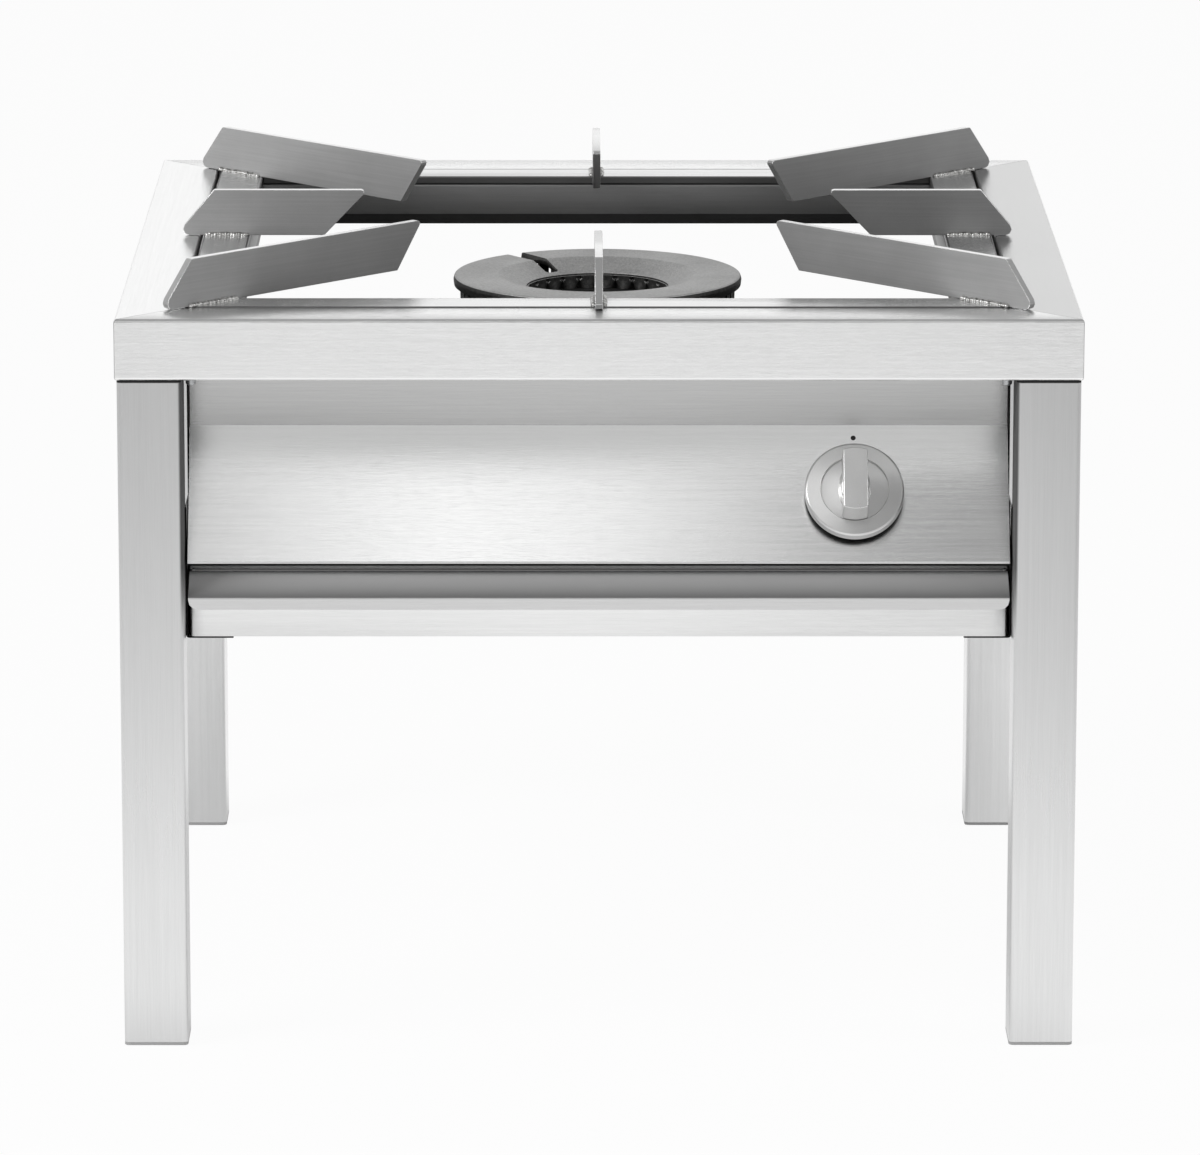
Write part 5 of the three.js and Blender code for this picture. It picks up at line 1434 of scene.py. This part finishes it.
@dataclass
class GasTrain:
    """Valve, pipes, inlet, injector, shutter, pilot and thermocouple."""

    frame: Frame
    # The pipes, of which the last is the thermocouple's lead.
    pipes: tuple[Pipe, ...] = (
        Pipe("feed_pipe", "copper", 25.0, 4.0, (
            (137.7, -215.73, 319.15), (0.0, -215.73, 319.15), (0.0, -215.73, 393.7))),
        Pipe("supply_pipe", "zinc_plate", 20.0, 6.0, (
            (160.0, -217.84, 347.11), (160.0, -211.41, 357.0), (160.0, 251.7, 357.0))),
        Pipe("pilot_tube", "copper", 18.0, 2.0, (
            (139.7, -236.69, 332.76), (108.0, -236.69, 332.76), (108.0, -124.0, 345.0),
            (-63.48, 0.0, 345.0), (-63.48, 87.37, 345.0), (-63.48, 87.37, 379.4))),
        Pipe("thermocouple", "copper", 18.0, 1.5, (
            (208.6, -221.6, 322.96), (228.0, -221.6, 322.96), (228.0, -124.0, 336.0),
            (-52.96, 31.0, 336.0), (-52.96, 95.01, 336.0), (-52.96, 95.01, 374.5))))
    probe_radius: float = 2.6
    probe: Flat = (374.0, 431.0)  # heights of the probe's ends
    steps: int = 8

    def _pipe(self, pipe: Pipe) -> None:
        """Sweeps a pipe and, on the thermocouple's lead, its probe."""
        bm = bmesh.new()
        route = [Vector(pipe.corners[0])]
        for corner in zip(pipe.corners, pipe.corners[1:], pipe.corners[2:]):
            route += bend(*corner, pipe.bend_radius, self.steps)
        sweep(bm, [*route, Vector(pipe.corners[-1])], pipe.radius)
        if pipe is self.pipes[-1]:
            start = len(bm.verts)
            (low, high), reach = self.probe, self.probe_radius
            turned(bm, rounded_section([
                (0.0, low, 0.0), (reach, low, 0.4), (reach, high, reach * 0.9), (0.0, high, 0.0)]), 24)
            move(bm, Matrix.Translation(Vector((*pipe.corners[-1][:2], 0.0)) * MM), start)
        self.frame.mount(self.frame.make(f"{pipe.node}_bent", bm, pipe.finish), pipe.node)

    def build(self) -> None:
        """Dresses every piece of the gas train."""
        for node, finish, edge in (
                ("valve_body", "brass", 0.25), ("valve_nut", "brass", 0.25), ("valve_plug", "brass", 0.0),
                ("magnet_unit", "zinc_plate", 0.3), ("gas_inlet", "brass", 0.3),
                ("inlet_nut", "brass", 0.3), ("injector", "brass", 0.2),
                ("injector_elbow", "brass", 0.35), ("air_shutter", "zinc_plate", 0.2),
                ("pipe_clip", "zinc_plate", 0.2), ("pilot_bracket", "zinc_plate", 0.15),
                ("pilot_burner", "brass", 0.15)):
            self.frame.refine([node], finish, edge, 42.0)
        for pipe in self.pipes:
            self._pipe(pipe)


# ---- Studio -----------------------------------------------------------------------------------------
@dataclass
class Studio:
    """Pale floor, soft light and the camera at the photograph's angle."""

    lens: float = 231.478  # focal length, for a sensor 36 mm wide
    eye: Point = (-17.6, -4985.9, 1347.1)  # the camera's place, in millimetres
    pitch: float = 12.5666  # how far it looks down, in degrees
    yaw: float = -0.2233  # how far it looks to the left, in degrees
    roll: float = 0.0495  # its roll, in degrees
    floor: float = 40.0  # half the floor's width, in metres
    matt: float = 0.86  # the floor's tone
    fill: float = 0.4  # brightness of the surroundings for light that isn't mirrored
    # Each soft box's name, place, target, width and height in metres, and brightness.
    boxes: tuple[tuple[str, Point, Point, Flat, float], ...] = (
        ("narrow_box", (-0.09, -1.21, 1.64), (0.0, -0.25, 0.35), (0.36, 0.9), 0.8),
        ("wide_box", (-0.22, -1.24, 1.69), (0.0, -0.25, 0.35), (0.95, 0.9), 0.12),
        ("left_box", (-2.2, -1.2, 2.2), (0.0, 0.0, 0.4), (1.4, 1.4), 6.0),
        ("right_box", (2.4, -0.8, 2.0), (0.0, 0.0, 0.4), (1.2, 1.2), 3.0))

    def _camera(self) -> None:
        """Sets up the camera."""
        data = bpy.data.cameras.new("camera")
        data.lens = self.lens
        data.sensor_width = 36.0
        data.sensor_fit = "HORIZONTAL"
        data.clip_end = 100.0
        camera = bpy.data.objects.new("camera", data)
        turn = Matrix.Translation(Vector(self.eye) * MM)
        for degrees, axis in ((self.yaw, "Z"), (90 - self.pitch, "X"), (self.roll, "Z")):
            turn = turn @ Matrix.Rotation(math.radians(degrees), 4, axis)
        camera.matrix_world = turn
        bpy.context.scene.collection.objects.link(camera)
        bpy.context.scene.camera = camera

    @staticmethod
    def _glossy(across: Value, deep: Value) -> Value:
        """How bright the floor is in reflections.

        It is dimmer below the range, as a painted shadow, far out at both sides, and in front beside the
        middle.

        Args:
            across: a place's X, in metres.
            deep: its Y.

        Returns:
            The brightness, from 0 to 1.
        """
        wide = across.distance(-0.04)
        front = (deep * -1.0).within(0.7, 2.3) * wide.within(0.05, 0.38)
        sides = wide.within(0.6, 1.5)
        # painted shadow of the range in the floor's glow
        below = (1.0 - wide.within(0.25, 0.42)) * (1.0 - deep.distance(0.0).within(0.25, 0.42))
        return 1.0 - front * 0.72 - sides * 0.45 - below * 0.7

    def _floor(self) -> None:
        """Lays the pale floor: nearly white to the camera, with a soft shadow."""
        bm = bmesh.new()
        bmesh.ops.create_grid(bm, x_segments=1, y_segments=1, size=self.floor)
        material = bpy.data.materials.new("pale_floor")
        material.use_nodes = True
        tree = Tree(material.node_tree)
        path = tree.node("ShaderNodeLightPath")
        seen = tree.value(path, "Is Camera Ray") + tree.value(path, "Is Transmission Ray")
        across, deep, _ = tree.axes(tree.node("ShaderNodeTexCoord").outputs["Object"])
        share = seen * 0.95 + tree.value(path, "Is Glossy Ray") * self._glossy(across, deep)
        matt = tree.node("ShaderNodeBsdfDiffuse", {}, {"Color": (*grey(self.matt), 1.0)})
        glow = tree.node("ShaderNodeEmission", {}, {"Color": (*grey(1.0), 1.0), "Strength": 1.0})
        mixed_shader = tree.node("ShaderNodeMixShader", {}, {
            0: share.clamped(), 1: matt.outputs[0], 2: glow.outputs[0]})
        tree.node("ShaderNodeOutputMaterial", {}, {"Surface": mixed_shader.outputs[0]})
        floor = make_object("floor", plain_mesh(bm, "floor"), material)
        floor.location.z = -0.5 * MM

    def _world(self) -> None:
        """Lights the surroundings: white ahead and behind, dimmer at the sides and overhead."""
        world = bpy.data.worlds.new("studio")
        world.use_nodes = True
        bpy.context.scene.world = world
        tree = Tree(world.node_tree)
        path = tree.node("ShaderNodeLightPath")
        side, deep, up = tree.axes(tree.node("ShaderNodeTexCoord").outputs["Generated"])
        ahead = (deep * -1.0).within(0.0, 0.3)
        rear_dim, front_dim = up.within(0.4, 0.7), up.within(0.02, 0.4)
        dim = rear_dim + (front_dim - rear_dim) * ahead
        glossy = (1.0 - dim * 0.66) * (1.0 - (side * side).within(0.35, 0.85) * 0.7)
        camera, bounced = tree.value(path, "Is Camera Ray"), tree.value(path, "Is Glossy Ray")
        level = camera + bounced * glossy + (1.0 - camera - bounced).clamped() * self.fill
        shader = tree.node("ShaderNodeBackground", {}, {"Color": (*grey(1.0), 1.0), "Strength": level})
        tree.node("ShaderNodeOutputWorld", {}, {0: shader.outputs[0]})

    @staticmethod
    def _lamp(name: str, place: Point, target: Point, size: Flat, level: float) -> None:
        """Hangs a soft box that the camera doesn't see.

        Args:
            name: its name.
            place: its place, in metres.
            target: the point it faces.
            size: its width and height, in metres.
            level: its brightness, where 1 is white.
        """
        data = bpy.data.lights.new(name, "AREA")
        data.shape = "RECTANGLE"
        data.size, data.size_y = size
        data.energy = level * math.pi * size[0] * size[1]
        lamp = bpy.data.objects.new(name, data)
        lamp.visible_camera = False
        lamp.location = place
        lamp.rotation_euler = (Vector(target) - Vector(place)).to_track_quat("-Z", "Y").to_euler()
        bpy.context.scene.collection.objects.link(lamp)

    def build(self) -> None:
        """Sets up the floor, the lights and the camera."""
        bpy.context.scene.view_settings.view_transform = "Standard"
        self._camera()
        self._floor()
        self._world()
        for box in self.boxes:
            self._lamp(*box)


def main() -> None:
    """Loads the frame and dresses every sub-assembly."""
    logging.basicConfig(level=logging.INFO, format="%(name)s: %(message)s")
    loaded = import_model()
    frame = Frame(loaded, Finishes())
    slant = Slant()
    for assembly in (
            TopFrame(frame), Stand(frame), Grate(frame), ControlPanel(frame, slant), DripTray(frame),
            Knob(frame, slant), Burner(frame), GasTrain(frame)):
        assembly.build()
        LOG.info("%s is dressed", type(assembly).__name__)
    Studio().build()
    LOG.info("%d pieces in all", frame.pieces)


if __name__ == "__main__":
    main()
